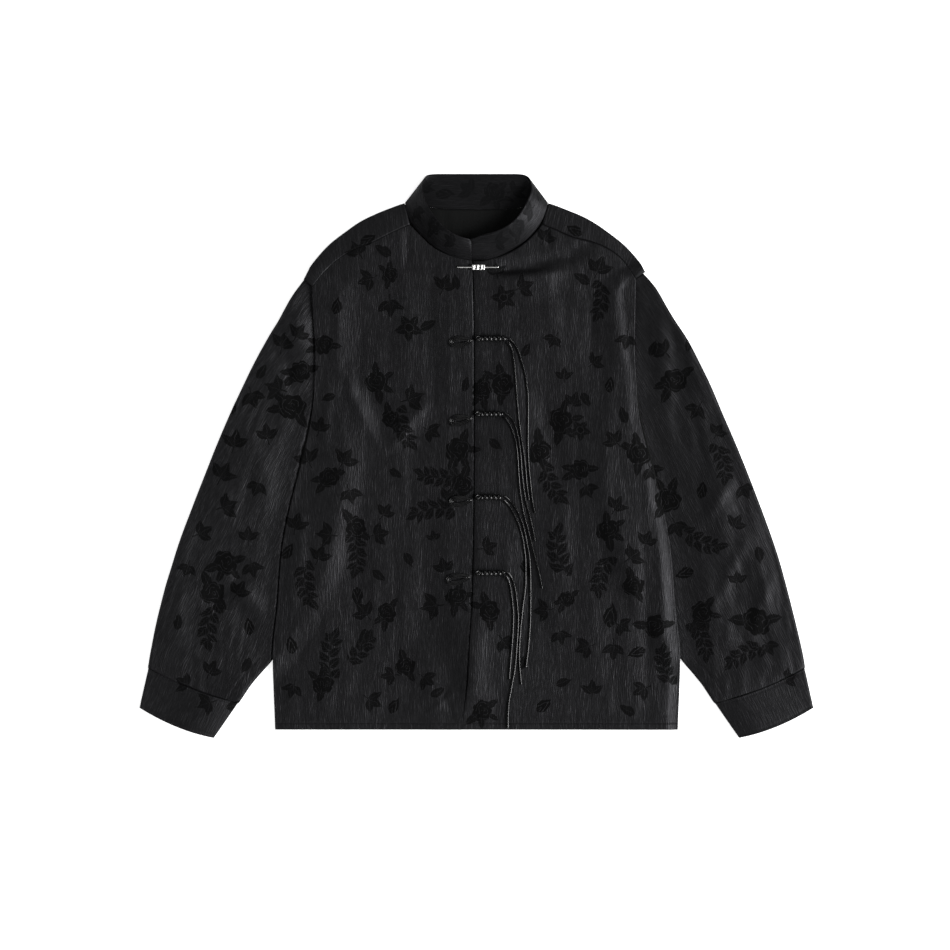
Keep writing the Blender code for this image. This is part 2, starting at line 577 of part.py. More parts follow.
def make_cord(name, points, diameter, closed=False, sides=2):
    """Round cord along points, its ends capped."""
    curve = bpy.data.curves.new(name, "CURVE")
    curve.dimensions = "3D"
    curve.bevel_depth = diameter / 2 * METRES
    curve.bevel_resolution = sides
    curve.use_fill_caps = not closed
    spline = curve.splines.new("POLY")
    spline.points.add(len(points) - 1)
    for place, point in zip(spline.points, points):
        place.co = (*(Vector(point) * METRES), 1.0)
    spline.use_cyclic_u = closed
    return new_object(name, curve, WAXED)


def make_loop(number, frog, cloth):
    """Teardrop loop of doubled cord on the right front."""
    centre = Vector(((frog.loop_x + frog.nose_x) / 2, (frog.loop_y + frog.nose_y) / 2))
    half = Vector((frog.nose_x - frog.loop_x, frog.nose_y - frog.loop_y)) / 2
    long_way = half.normalized()
    cross = Vector((-long_way.y, long_way.x))
    reach = half.length - LOOP_CORD / 2
    points = []
    for k in range(LOOP_POINTS):
        angle = 2 * math.pi * k / LOOP_POINTS
        taper = 1.0 - LOOP_TAPER * math.cos(angle)
        place = centre + long_way * reach * math.cos(angle)
        place = place + cross * (LOOP_WIDTH - LOOP_CORD) / 2 * math.sin(angle) * taper
        points.append(place)
    height = max(cloth.top(p.x, p.y, LOOP_CORD / 2) for p in points)
    points = [(p.x, p.y, height + LOOP_CORD / 2 + REST_GAP) for p in points]
    return make_cord(f"frog_loop_{number}", points, LOOP_CORD, closed=True)


def make_knot(number, frog, cloth):
    """Ball knot and the twisted pair of cords behind it, one turned solid on the left front."""
    sides, stations = 8, 22
    start = KNOT_X - KNOT_RADIUS
    length = frog.stem_end - start
    lying = max(cloth.top(x, frog.stem_y, STEM_WIDE / 2) for x in np.linspace(KNOT_X, frog.stem_end, 12))
    axis_height = lying + max(KNOT_RADIUS, STEM_WIDE / 2) + REST_GAP
    points, faces = [], []
    for k in range(stations):
        distance = 0.25 + (length - 0.5) * k / (stations - 1)
        ball = math.sqrt(max(0.0, KNOT_RADIUS ** 2 - (distance - KNOT_RADIUS) ** 2))
        stem = float(ease((distance - KNOT_RADIUS) / KNOT_RADIUS)) * float(ease((length - distance) / 2.5 + 0.55))
        wide, flat = max(ball, STEM_WIDE / 2 * stem), max(ball, STEM_FLAT / 2 * stem)
        turn = 2 * math.pi * STEM_TWIST * distance / length
        for n in range(sides):
            angle = 2 * math.pi * n / sides
            a, b = wide * math.cos(angle), flat * math.sin(angle)
            points.append((start + distance, frog.stem_y + a * math.cos(turn) - b * math.sin(turn),
                           axis_height + a * math.sin(turn) + b * math.cos(turn)))
    for k in range(stations - 1):
        for n in range(sides):
            a, b = k * sides + n, k * sides + (n + 1) % sides
            faces.append((a, b, b + sides, a + sides))
    faces.append(tuple(range(sides))[::-1])
    faces.append(tuple(range((stations - 1) * sides, stations * sides)))
    mesh = mesh_from(f"frog_knot_{number}", points, faces)
    recalculate(mesh)
    new_object(f"frog_knot_{number}", mesh, WAXED)
    return axis_height


def recalculate(mesh):
    """Point a closed mesh's faces outwards."""
    work = bmesh.new()
    work.from_mesh(mesh)
    bmesh.ops.recalc_face_normals(work, faces=work.faces)
    work.to_mesh(mesh)
    work.free()
    mesh.shade_smooth()


def make_tail(name, route, start_height, cloth):
    """Loose cord end from the stem down to the cloth and along it."""
    points = []
    length = sum(math.dist(a, b) for a, b in zip(route, route[1:]))
    for t in shares(TAIL_POINTS):
        x, y = along(route, t)
        down = float(ease(t * length / TAIL_DROP))
        lying = cloth.top(x, y, CORD / 2 + 0.6) + CORD / 2 + REST_GAP
        points.append((x, y, start_height * (1 - down) + lying * down))
    return make_cord(name, points, CORD)


def make_pin(cloth):
    """Bar pin: a thin rod through a ridged centre block, lying across the two fronts below the collar."""
    top = max(cloth.top(x, PIN_Y, BLOCK_WIDE / 2) for x in np.linspace(BLOCK_X - 8, BLOCK_X + 8, 9))
    height = top + BLOCK_HIGH / 2 + REST_GAP
    bar = bpy.data.meshes.new("pin_bar")
    work = bmesh.new()
    bmesh.ops.create_cone(work, cap_ends=True, segments=10, radius1=PIN_RADIUS * METRES, radius2=PIN_RADIUS * METRES,
                          depth=(PIN_TO - PIN_FROM) * METRES)
    work.to_mesh(bar)
    work.free()
    bar.shade_smooth()
    rod = new_object("pin_bar", bar, SILVER)
    rod.rotation_euler = (0.0, math.pi / 2, 0.0)
    rod.location = Vector(((PIN_FROM + PIN_TO) / 2, PIN_Y, height)) * METRES
    points, faces = [], []
    sides, stations = 10, 4 * BLOCK_RIDGES + 1
    for wall in ("outer", "inner"):
        for k in range(stations):
            x = BLOCK_X + BLOCK_LENGTH * (k / (stations - 1) - 0.5)
            ridge = 1.0 - GROOVE + GROOVE * abs(math.sin(math.pi * BLOCK_RIDGES * k / (stations - 1)))
            for n in range(sides):
                angle = 2 * math.pi * (n + 0.5) / sides
                square = max(abs(math.cos(angle)), abs(math.sin(angle))) ** -0.6
                full = ridge * square * BLOCK_FULL / 2
                wide, high = ((BLOCK_WIDE * full, BLOCK_HIGH * full) if wall == "outer" else (BLOCK_BORE, BLOCK_BORE))
                points.append((x, PIN_Y + wide * math.cos(angle), height + high * math.sin(angle)))
    shell = stations * sides
    for offset in (0, shell):
        for k in range(stations - 1):
            for n in range(sides):
                a, b = offset + k * sides + n, offset + k * sides + (n + 1) % sides
                faces.append((a, b, b + sides, a + sides))
    for k in (0, stations - 1):
        for n in range(sides):
            a, b = k * sides + n, k * sides + (n + 1) % sides
            faces.append((a, b, b + shell, a + shell))
    mesh = mesh_from("pin_block", points, faces)
    recalculate(mesh)
    new_object("pin_block", mesh, SILVER)


def main():
    """Build every piece, the cloth first and then what lies on it."""
    for obj in list(bpy.data.objects):
        bpy.data.objects.remove(obj, do_unlink=True)
    make_back()
    right = make_front("front_right", RIGHT, right_front_height, placket_edge)
    left = make_front("front_left", LEFT, left_front_height, underlap_edge)
    for side, word in ((RIGHT, "right"), (LEFT, "left")):
        make_sleeve(f"sleeve_{word}", side)
        make_cuff(f"cuff_{word}", side)
    make_collar()
    bpy.context.view_layer.update()
    cloth = Surface(right, left)
    starts = {}
    for number, frog in enumerate(FROGS, 1):
        make_loop(number, frog, cloth)
        starts[number] = make_knot(number, frog, cloth)
    for name, route in TAILS.items():
        make_tail(name, route, starts[int(name.split("_")[1])], cloth)
    make_pin(cloth)


main()
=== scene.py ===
"""Looks of a stand-collar shirt jacket in black satin jacquard, laid flat with its front up.

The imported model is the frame. Each of its solids is replaced by a finer piece of the same shape: the cloth
by a denser shell with its woven figures, creases and stitching, the frogs by their separate cords, the pin by
its turned metal. Tables are in millimetres, as they are noted on a pattern, and meshes are made in metres.
The wearer's right side is at -X, and +Y runs towards the collar.
"""
import logging
import math
from dataclasses import dataclass
from enum import IntEnum
from typing import Callable, NamedTuple, Sequence

import bmesh
import bpy
import numpy as np
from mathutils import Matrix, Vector
from mathutils.bvhtree import BVHTree


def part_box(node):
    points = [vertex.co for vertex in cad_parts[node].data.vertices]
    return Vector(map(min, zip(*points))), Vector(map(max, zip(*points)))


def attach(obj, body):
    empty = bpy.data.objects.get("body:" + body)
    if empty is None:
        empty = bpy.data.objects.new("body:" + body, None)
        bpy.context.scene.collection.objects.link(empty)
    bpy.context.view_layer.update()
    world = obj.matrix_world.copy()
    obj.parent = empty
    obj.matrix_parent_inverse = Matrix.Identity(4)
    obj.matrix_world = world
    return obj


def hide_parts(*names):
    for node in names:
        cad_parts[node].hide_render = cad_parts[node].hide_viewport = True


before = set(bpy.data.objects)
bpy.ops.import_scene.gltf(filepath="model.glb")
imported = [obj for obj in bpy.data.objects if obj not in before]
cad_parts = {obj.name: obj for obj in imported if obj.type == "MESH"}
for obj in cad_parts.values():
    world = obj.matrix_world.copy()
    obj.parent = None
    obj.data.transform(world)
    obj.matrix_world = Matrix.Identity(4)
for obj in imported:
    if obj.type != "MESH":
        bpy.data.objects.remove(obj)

Array = np.ndarray
Height = Callable[[Array, Array], Array]

METRES = 0.001
BODY = "root"
log = logging.getLogger("jacket")


class Side(IntEnum):
    """The wearer's side, as the sign of X."""

    RIGHT = -1
    LEFT = 1


class Figure(IntEnum):
    """Figures woven into the jacquard."""

    NONE = 0
    ROSE = 1
    STAR = 2
    BUD = 3
    LEAF = 4
    TRIO = 5
    SPRAY = 6


RIGHT, LEFT = Side.RIGHT, Side.LEFT
ROSE, STAR, BUD, LEAF, TRIO, SPRAY = list(Figure)[1:]


class Edge(NamedTuple):
    """Distance of an edge from the centre line at a height."""

    up: float
    out: float


class Place(NamedTuple):
    """Place on an outline, by its distance from the centre line and its height."""

    out: float
    up: float


class Crease(NamedTuple):
    """Soft ridge, or a trough where its rise is negative, from one place to another."""

    from_x: float
    from_y: float
    to_x: float
    to_y: float
    width: float
    rise: float


class Stamp(NamedTuple):
    """Woven figure: its middle, its kind, the way it grows in degrees, and its radius or half-length."""

    x: float
    y: float
    figure: Figure
    turn: float
    size: float


class Ripple(NamedTuple):
    """Gentle random ripples: their height, usual width and length, and which pattern they follow."""

    height: float
    wide: float
    long: float
    seed: float


class Lamp(NamedTuple):
    """Square soft box, in metres and watts."""

    name: str
    place: tuple[float, float, float]
    size: float
    power: float


class Blade(NamedTuple):
    """Outline of a leaf: its length and half its width, in the figure's own unit."""

    length: float
    half: float


class Frog(NamedTuple):
    """Frog closure: ends of the loop, height of the knot's stem and how far the stem runs."""

    loop_x: float
    loop_y: float
    nose_x: float
    nose_y: float
    stem_y: float
    stem_end: float


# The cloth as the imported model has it: its walls and gaps, edges, air beneath and how its heights fade
WALL = 1.2
LAYER_GAP = 0.6
SEAM_GAP = 0.4
HEM = -352.8
COLLAR_BACK = 365.0
SLEEVE_HEIGHT = 3.0
LIFT, LIFT_RUN = 3.8, 34.0
AIR, EDGE_AIR = 3.0, 0.3
SIDE_FADE, HEM_FADE, SHOULDER_FADE = 70.0, 55.0, 42.0
SLEEVE_AIR, SLEEVE_CLEAR, SLEEVE_FADE = 3.2, 7.0, 38.0
UNDERLAP = 26.0
PLACKET_RISE, PLACKET_RUN, PLACKET_CLEAR = 2.2, 30.0, 4.0
PLACKET_DIP, DIP_START, DIP_RUN = 1.6, 14.0, 24.0
PRESSED_AT, PRESSED_WIDTH = 0.4, 1.1
CUFF_WALL, CUFF_HEIGHT, CUFF_BOW = 1.4, 5.0, 4.0
BOW_WAY = (0.35, -1.0)
ARMHOLE_FADE = 0.35
COLLAR_BULGE, COLLAR_CORNER, COLLAR_RUN = 2.5, 7.0, 560.0
FLAT_RIM, STANDING_RIM = 2.0, 14.0

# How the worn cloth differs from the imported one: the sleeve crowded against the body's right edge, and the
# front that rolls over at the left edge
CROWDED, CROWD_START, CROWD_RISE, CROWD_FLAT, CROWD_FADE, CROWD_DOWN = 2.3, 0.3, 2.6, 2.0, 30.0, 60.0
SIDE_ROLL, ROLL_RUN, ROLL_FADE = 3.8, 16.0, 110.0
ROLL_CLEAR, ROLL_LEAST, ROLL_TOP, ROLL_LENGTH = 20.0, 0.3, 190.0, 360.0
EDGE_FADE = 12.0
HEM_TURN, TURN_UP, TURN_FADE = 0.25, 9.0, 3.0
STITCH_UP, STITCH_DEPTH, STITCH_WIDTH = 8.5, 0.45, 1.1
FRONT_RIPPLES = (Ripple(0.34, 9.0, 46.0, 1.7), Ripple(0.42, 21.0, 90.0, 4.1))
SLEEVE_RIPPLES = (Ripple(0.5, 8.0, 30.0, 5.9), Ripple(0.5, 19.0, 60.0, 2.3))
CUFF_RIPPLES = (Ripple(0.3, 14.0, 40.0, 6.7),)

BODY_EDGE: dict[Side, list[Edge]] = {
    RIGHT: [Edge(HEM, 260.0), Edge(-259.0, 263.0), Edge(-192.0, 256.5), Edge(-124.0, 251.0),
            Edge(-20.0, 230.0), Edge(73.0, 208.7), Edge(101.0, 203.0), Edge(176.0, 189.0),
            Edge(188.0, 195.4), Edge(205.8, 203.4), Edge(220.0, 212.7), Edge(226.4, 221.9)],
    LEFT: [Edge(HEM, 260.0), Edge(-259.0, 263.0), Edge(-192.0, 256.5), Edge(-124.0, 251.0),
           Edge(-20.0, 230.0), Edge(73.0, 209.0), Edge(98.7, 207.0), Edge(141.0, 199.0),
           Edge(176.0, 195.5), Edge(212.0, 191.6), Edge(229.0, 206.3), Edge(236.1, 216.6)],
}
NECK_POINT = Place(92.5, 325.7)
BACK_NECKLINE = [Place(0.0, 319.05), Place(28.0, 319.35), Place(56.0, 320.9), Place(78.0, 324.3), NECK_POINT]
SHOULDER_FOLD = [Place(0.0, 345.0), NECK_POINT, Place(112.0, 319.0), Place(146.0, 304.0), Place(170.0, 288.0),
                 Place(189.0, 273.0), Place(204.0, 257.0), Place(215.0, 242.0), Place(221.9, 229.0),
                 Place(228.0, 218.0)]
FRONT_TOP: dict[Side, list[Place]] = {
    RIGHT: [Place(0.0, 251.4), Place(7.9, 251.6), Place(34.6, 258.1), Place(55.3, 268.4),
            Place(74.6, 286.3), Place(86.0, 299.5), Place(111.6, 287.7), Place(130.9, 278.0),
            Place(161.9, 265.1), Place(180.0, 253.5), Place(196.7, 238.0), Place(211.5, 219.5)],
    LEFT: [Place(0.0, 251.4), Place(7.9, 251.6), Place(33.5, 258.5), Place(54.0, 268.7),
           Place(72.6, 284.0), Place(85.0, 300.5), Place(101.3, 293.5), Place(125.8, 283.2),
           Place(147.1, 278.0), Place(164.5, 271.5), Place(182.5, 259.9), Place(194.1, 247.0),
           Place(205.5, 229.5)],
}
SEAM_START = 5
PLACKET = [(HEM, -20.0), (-340.0, -18.8), (-290.0, -13.2), (-240.0, -10.6), (-185.0, -7.1), (-56.0, -4.5),
           (150.0, -4.0), (252.0, -6.0)]
SLEEVE_OUTER = [Place(216.0, 237.2), Place(223.0, 229.3), Place(234.5, 211.8), Place(251.6, 180.0),
                Place(269.6, 149.0), Place(285.7, 118.0), Place(300.6, 87.0), Place(314.8, 56.0),
                Place(341.0, -6.0), Place(365.0, -68.0), Place(387.0, -130.0), Place(404.0, -192.0),
                Place(418.0, -253.5), Place(421.5, -274.0)]
SLEEVE_INNER = [Place(178.0, -30.0), Place(184.0, -80.0), Place(203.0, -140.0), Place(229.0, -200.0),
                Place(263.0, -258.0), Place(297.0, -298.0), Place(310.0, -317.5)]
ARMHOLE_END = [Place(214.0, 236.0), Place(200.0, 227.0), Place(187.0, 211.0), Place(184.0, 176.0),
               Place(187.0, 101.0), Place(182.0, 30.0), Place(178.0, -30.0)]
SLEEVE_REACH = [Edge(-363.0, 341.0), Edge(-298.0, 294.0), Edge(-258.0, 259.0), Edge(-200.0, 225.0),
                Edge(-140.0, 199.0), Edge(-80.0, 181.0), Edge(-30.0, 175.0), Edge(30.0, 177.0),
                Edge(101.0, 182.0), Edge(176.0, 180.0), Edge(211.0, 182.0), Edge(227.0, 194.0),
                Edge(237.0, 208.0), Edge(262.0, 250.0)]
CUFF_OUTER = [Place(421.55, -274.1), Place(433.0, -325.6)]
CUFF_INNER = [Place(310.1, -317.6), Place(341.6, -362.8)]

# Collar band, from the right front end round the back to the left front end: seam x, y, z and rim x, y, z
COLLAR_STATIONS = [
    (-6.5, 253.0, 8.2, -6.5, 279.5, 20.5), (-20.0, 254.8, 8.0, -21.0, 283.2, 23.5),
    (-34.6, 259.6, 7.4, -33.0, 288.6, 25.0), (-54.0, 270.4, 6.6, -45.5, 298.6, 25.0),
    (-72.4, 287.6, 5.6, -58.0, 314.5, 23.0), (-84.4, 303.0, 4.8, -66.6, 331.0, 19.0),
    (-90.0, 319.0, 3.9, -69.5, 346.5, 13.0), (-91.9, 327.2, 2.3, -67.0, 359.0, 6.0),
    (-88.0, 328.0, 0.8, -60.0, 364.2, 1.6), (-78.0, 324.6, 0.6, -50.0, 365.0, 0.7),
    (-56.0, 321.0, 0.6, -38.0, COLLAR_BACK, 0.6), (-28.0, 319.4, 0.6, -18.0, COLLAR_BACK, 0.6),
    (0.0, 319.1, 0.6, 0.0, COLLAR_BACK, 0.6), (28.0, 319.4, 0.6, 18.0, COLLAR_BACK, 0.6),
    (56.0, 321.0, 0.6, 38.0, COLLAR_BACK, 0.6), (78.0, 324.6, 0.6, 50.0, 365.0, 0.7),
    (88.0, 328.0, 0.8, 60.0, 364.2, 1.6), (91.9, 327.2, 2.3, 68.5, 358.0, 6.0),
    (90.0, 319.0, 3.9, 71.0, 345.0, 13.0), (84.0, 304.0, 4.8, 66.0, 330.5, 19.0),
    (70.4, 285.6, 5.6, 55.5, 312.0, 23.0), (52.0, 271.0, 5.8, 42.5, 299.0, 24.0),
    (33.0, 260.6, 5.4, 25.0, 290.0, 22.5), (12.0, 254.0, 4.6, 9.0, 285.6, 19.5),
    (-6.0, 253.6, 4.0, -7.0, 280.4, 16.5), (-22.0, 256.6, 3.9, -22.0, 279.0, 15.0),
]

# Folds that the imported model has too
FRONT_CREASES = [Crease(*row) for row in [
    (24, 240, 108, 254, 9, -2), (30, 224, 112, 236, 13, 2.2), (112, 256, 158, 282, 10, -1.6),
    (-176, 112, -127, 6, 15, 2.2), (-60, 73, -122, 8, 14, 1.8), (-150, 40, -110, 60, 26, -1.6),
    (196, 150, 206, -30, 9, 1.8), (176, 120, 188, -60, 14, -1.5), (150, 60, 170, -140, 16, 1.4),
    (-34, -252, -32, -316, 15, -2.8), (-66, -240, -60, -330, 14, 2), (-110, -334, -40, -340, 9, 1.6),
    (-95, 230, -80, 110, 14, 1.6), (96, -60, 120, -250, 20, 1.4), (-200, -80, -190, -260, 22, 1.4),
]]
SLEEVE_CREASES = [Crease(*row) for row in [
    (-328, -152, -262, -204, 12, 3.6), (-318, -186, -268, -250, 15, -2.4), (-240, 190, -212, 120, 11, 2.6),
    (-262, 150, -226, 70, 12, -1.8), (-300, 60, -262, -70, 17, 2), (236, 190, 236, 90, 12, 2.4),
    (262, 120, 262, 10, 14, -1.8), (300, 40, 318, -120, 18, 2), (352, -60, 372, -210, 14, 1.8),
    (290, -140, 330, -260, 15, 2.2),
]]

# Smaller wrinkles that only the cloth here has
FRONT_WRINKLES = [Crease(*row) for row in [
    (46, 160, 52, -30, 20, 1.8), (212, -90, 224, -262, 10, -1.6), (122, 243, 160, 100, 28, -1.7),
    (14, 230, 130, 240, 8, 1.8), (30, 243, 150, 262, 6, -1), (85, 81, 112, -47, 12, -1.8),
    (150, 60, 170, -140, 16, -0.8), (176, 240, 190, 110, 15, 1.5), (-200, -80, -190, -260, 22, -0.8),
    (-188, 110, -200, 10, 9, 1.8), (-182, 214, -186, 120, 9, 1.4), (-172, 104, -122, 6, 7, 1.8),
    (-64, 70, -118, 6, 7, 1.1), (-150, 92, -112, 26, 14, -2.2), (-224, -60, -238, -200, 10, 1.8),
    (-150, -60, -158, -210, 16, -0.8), (60, -90, 78, -230, 14, -1.4), (150, -170, 160, -320, 14, 1.4),
    (-35, 240, -35, -340, 2.2, 0.30), (50, 245, 50, -60, 2.2, 0.22), (-88, 292, -92, 240, 5, -0.8),
    (88, 292, 96, 268, 3.5, -0.9), (16, 238, 88, 243, 5, -3.2), (-60, -330, -24, -300, 4, 0.8),
    (-46, -300, -30, -334, 4.5, -0.9), (-90, -322, -50, -348, 4, 0.6), (-240, -250, -236, -335, 8, 0.6),
    (214, -150, 222, -330, 9, -0.8), (232, -60, 246, -300, 6, 0.7), (70, 200, 120, 214, 7, -0.6),
]]

# Folds that the two fronts have together where they overlap
PLACKET_FOLDS = [Crease(*row) for row in [
    (-12, -205, -6, -335, 20, 4.6), (-34, -250, -32, -318, 15, 2.4),
]]

# Frogs, counted from the neck
FROGS = [
    Frog(-35.5, 146.4, -5.5, 149.4, 152.2, 39.3), Frog(-35.5, 43.9, -5.5, 49.4, 54.8, 33.8),
    Frog(-35.5, -59.3, -5.5, -56.0, -52.6, 32.5), Frog(-39.3, -160.6, -8.0, -155.2, -150.5, 36.2),
]
LOOP_WIDTH, LOOP_TAPER = 15.0, 0.34
KNOT_X, KNOT_RADIUS = 2.2, 4.2

# Loose cord ends of the frogs: their routes from the stem
TAILS: dict[str, list[tuple[float, float]]] = {
    "tail_1_inner": [(41.4, 148.6), (46.1, 136.8), (49.0, 118.0), (52.2, 77.4), (56.4, 34.2), (60.8, 5.8),
                     (63.4, -16.1), (64.9, -35.5), (68.0, -57.4)],
    "tail_1_outer": [(41.9, 153.6), (49.8, 144.3), (57.4, 125.8), (64.6, 96.1), (66.7, 71.6),
                     (66.4, 16.1), (67.9, -16.1), (69.9, -35.5), (72.9, -62.6), (75.5, -73.5)],
    "tail_2_inner": [(35.8, 52.4), (41.0, 44.4), (47.1, 31.4), (52.2, 9.7), (54.2, -17.4), (55.4, -35.5),
                     (60.2, -69.0), (66.4, -93.5), (72.9, -119.8), (79.3, -143.3), (85.0, -170.9)],
    "tail_2_outer": [(36.6, 57.2), (44.5, 50.2), (51.3, 36.1), (56.6, 5.8), (59.0, -23.9), (63.1, -54.4),
                     (69.5, -79.3), (75.8, -109.0)],
    "tail_3_inner": [(34.6, -54.8), (41.3, -62.4), (49.7, -76.8), (56.8, -94.8), (61.3, -116.1),
                     (63.3, -134.8), (63.5, -159.3), (59.7, -196.3), (56.0, -234.1), (55.1, -258.6),
                     (57.3, -289.6), (57.9, -294.8)],
    "tail_3_outer": [(35.2, -50.2), (42.9, -56.4), (52.4, -69.7), (60.4, -89.7), (65.6, -114.2),
                     (69.0, -136.1), (69.8, -165.8), (69.5, -209.6), (67.6, -239.3), (63.9, -272.8)],
    "tail_4_inner": [(38.3, -152.8), (41.6, -160.0), (44.2, -172.2), (46.6, -190.3), (47.6, -207.0),
                     (47.0, -226.4), (44.9, -253.0), (42.2, -288.3)],
    "tail_4_outer": [(38.9, -148.0), (44.4, -154.2), (49.1, -167.1), (52.5, -190.3), (53.9, -209.6),
                     (52.2, -240.6), (49.9, -271.5), (45.5, -296.1), (41.5, -320.6), (40.6, -339.9),
                     (40.6, -350.9)],
}
CORD = 2.2
TAIL_DROP = 12.0

# Where the woven figures lie on the flat garment: x, y, figure, the way it grows, size
FIGURES = [
    (-112, 234, ROSE, 20, 11), (-136, 230, TRIO, 200, 15), (-112, 200, TRIO, 275, 17),
    (-152, 262, TRIO, 120, 15), (-121, 266, LEAF, 150, 14), (-87, 166, STAR, 15, 19),
    (-62, 170, LEAF, 25, 13), (-43, 217, TRIO, 70, 16), (-27, 226, LEAF, 100, 12), (-129, 96, ROSE, 80, 15),
    (-88, 73, TRIO, 20, 18), (-96, 35, SPRAY, 292, 27), (-111, 48, ROSE, 10, 12), (-62, 34, TRIO, 330, 14),
    (-203, 34, TRIO, 80, 14), (-217, -6, TRIO, 110, 17), (-190, -27, ROSE, 40, 14),
    (-172, -8, TRIO, 60, 17), (-164, -44, TRIO, 285, 15), (-104, -22, LEAF, 330, 11),
    (-53, -27, SPRAY, 172, 26), (-20, -36, ROSE, 0, 16), (-60, -68, SPRAY, 190, 28),
    (-38, -55, TRIO, 60, 14), (-24, 9, ROSE, 50, 17), (-55, -107, TRIO, 100, 10),
    (-87, -134, LEAF, 300, 12), (-156, -92, ROSE, 30, 15), (-188, -101, TRIO, 175, 16),
    (-131, -101, TRIO, 10, 15), (-120, -75, TRIO, 60, 13), (-154, -128, SPRAY, 270, 26),
    (-154, -181, BUD, 270, 13), (-234, -92, TRIO, 75, 16), (-204, -132, TRIO, 70, 15),
    (-221, -167, SPRAY, 282, 28), (-243, -122, BUD, 60, 12), (-126, -154, LEAF, 320, 12),
    (-116, -202, ROSE, 70, 13), (-142, -204, TRIO, 130, 16), (-146, -234, LEAF, 250, 13),
    (-190, -254, SPRAY, 84, 29), (-148, -249, SPRAY, 52, 25), (-198, -294, ROSE, 20, 14),
    (-139, -313, TRIO, 330, 15), (-239, -243, BUD, 100, 13), (-236, -296, TRIO, 250, 14),
    (-26, -181, ROSE, 60, 14), (-52, -192, TRIO, 190, 18), (-41, -147, TRIO, 105, 14),
    (-92, -271, ROSE, 10, 13), (-108, -282, TRIO, 190, 13), (-68, -285, TRIO, 320, 14),
    (35, 205, STAR, 70, 18), (56, 217, TRIO, 25, 16), (26, 236, TRIO, 100, 13), (156, 239, TRIO, 70, 17),
    (136, 230, LEAF, 150, 14), (161, 200, SPRAY, 262, 24), (150, 120, TRIO, 40, 13),
    (113, 101, TRIO, 90, 12), (101, 154, TRIO, 240, 13), (141, 73, LEAF, 300, 12), (7, 86, ROSE, 90, 14),
    (33, 94, ROSE, 30, 16), (-14, 94, LEAF, 80, 11), (109, 46, ROSE, 60, 17), (134, 34, STAR, 20, 15),
    (124, 67, TRIO, 70, 14), (25, 15, LEAF, 320, 12), (81, 6, ROSE, 0, 16), (97, -39, SPRAY, 302, 26),
    (133, -17, ROSE, 20, 14), (141, -39, TRIO, 300, 14), (189, 54, LEAF, 110, 13), (180, 18, TRIO, 130, 15),
    (209, 3, ROSE, 30, 16), (224, -15, TRIO, 300, 15), (104, -122, SPRAY, 98, 30), (169, -95, ROSE, 80, 15),
    (178, -67, TRIO, 60, 15), (160, -153, SPRAY, 252, 26), (198, -131, TRIO, 40, 16),
    (202, -167, ROSE, 10, 14), (218, -112, TRIO, 70, 14), (10, -118, TRIO, 20, 14),
    (116, -184, ROSE, 50, 11), (91, -198, TRIO, 185, 15), (107, -227, TRIO, 285, 14),
    (173, -204, BUD, 80, 17), (184, -217, TRIO, 330, 14), (144, -245, TRIO, 200, 15),
    (177, -244, TRIO, 265, 15), (149, -305, TRIO, 90, 14), (113, -291, LEAF, 20, 12),
    (16, -199, ROSE, 40, 15), (33, -237, TRIO, 310, 14), (7, -328, ROSE, 20, 14), (59, -266, LEAF, 70, 11),
    (230, -219, ROSE, 80, 15), (241, -269, SPRAY, 100, 25), (217, -299, TRIO, 210, 14),
    (206, -253, BUD, 200, 13), (-251, 142, TRIO, 70, 17), (-232, 155, TRIO, 60, 15),
    (-228, 109, ROSE, 30, 15), (-238, 64, ROSE, 70, 18), (-254, 86, TRIO, 160, 17),
    (-291, 81, TRIO, 290, 16), (-270, 24, TRIO, 95, 15), (-313, 14, TRIO, 80, 17),
    (-330, -27, TRIO, 60, 18), (-327, -66, TRIO, 20, 17), (-282, -35, TRIO, 250, 14),
    (-358, -100, TRIO, 30, 15), (-324, -137, ROSE, 0, 16), (-295, -107, TRIO, 88, 14),
    (-291, -139, TRIO, 285, 15), (-372, -141, TRIO, 250, 13), (-341, -176, ROSE, 20, 16),
    (-347, -219, SPRAY, 262, 28), (-309, -177, TRIO, 60, 15), (-345, -279, TRIO, 60, 14),
    (-373, -295, TRIO, 150, 14), (-298, -271, LEAF, 240, 13), (-344, -317, TRIO, 200, 15),
    (-313, -321, LEAF, 20, 12), (243, 135, TRIO, 140, 15), (255, 98, ROSE, 50, 17),
    (228, 140, LEAF, 70, 12), (286, 64, TRIO, 240, 15), (309, 29, TRIO, 60, 13), (319, -9, SPRAY, 282, 25),
    (343, -39, TRIO, 300, 14), (247, -56, ROSE, 0, 17), (257, -87, TRIO, 290, 15),
    (293, -112, SPRAY, 340, 26), (332, -90, TRIO, 60, 14), (291, -202, ROSE, 40, 15),
    (292, -237, SPRAY, 292, 25), (361, -213, ROSE, 80, 19), (343, -255, SPRAY, 210, 26),
    (374, -242, TRIO, 300, 14), (399, -287, TRIO, 20, 13), (268, -151, BUD, 200, 13),
    (-197, 144, ROSE, 10, 13), (-180, 195, BUD, 80, 12), (87, 280, TRIO, 60, 14), (126, 292, BUD, 150, 12),
    (-140, 280, BUD, 30, 12), (64, 138, LEAF, 60, 11), (194, 155, TRIO, 260, 14), (-192, 76, LEAF, 200, 11),
    (172, 93, BUD, 80, 11), (64, -145, BUD, 290, 12), (-50, -304, LEAF, 30, 12), (-106, -321, BUD, 60, 12),
    (87, -321, BUD, 40, 13), (194, -327, LEAF, 150, 13), (251, 212, TRIO, 300, 14),
    (274, 144, LEAF, 250, 12), (291, -43, BUD, 80, 12), (365, -128, LEAF, 280, 13),
    (336, -162, TRIO, 90, 13), (-385, -213, LEAF, 80, 12), (-294, -219, BUD, 100, 12),
    (-316, 65, BUD, 80, 12), (-277, 110, LEAF, 60, 12),
]
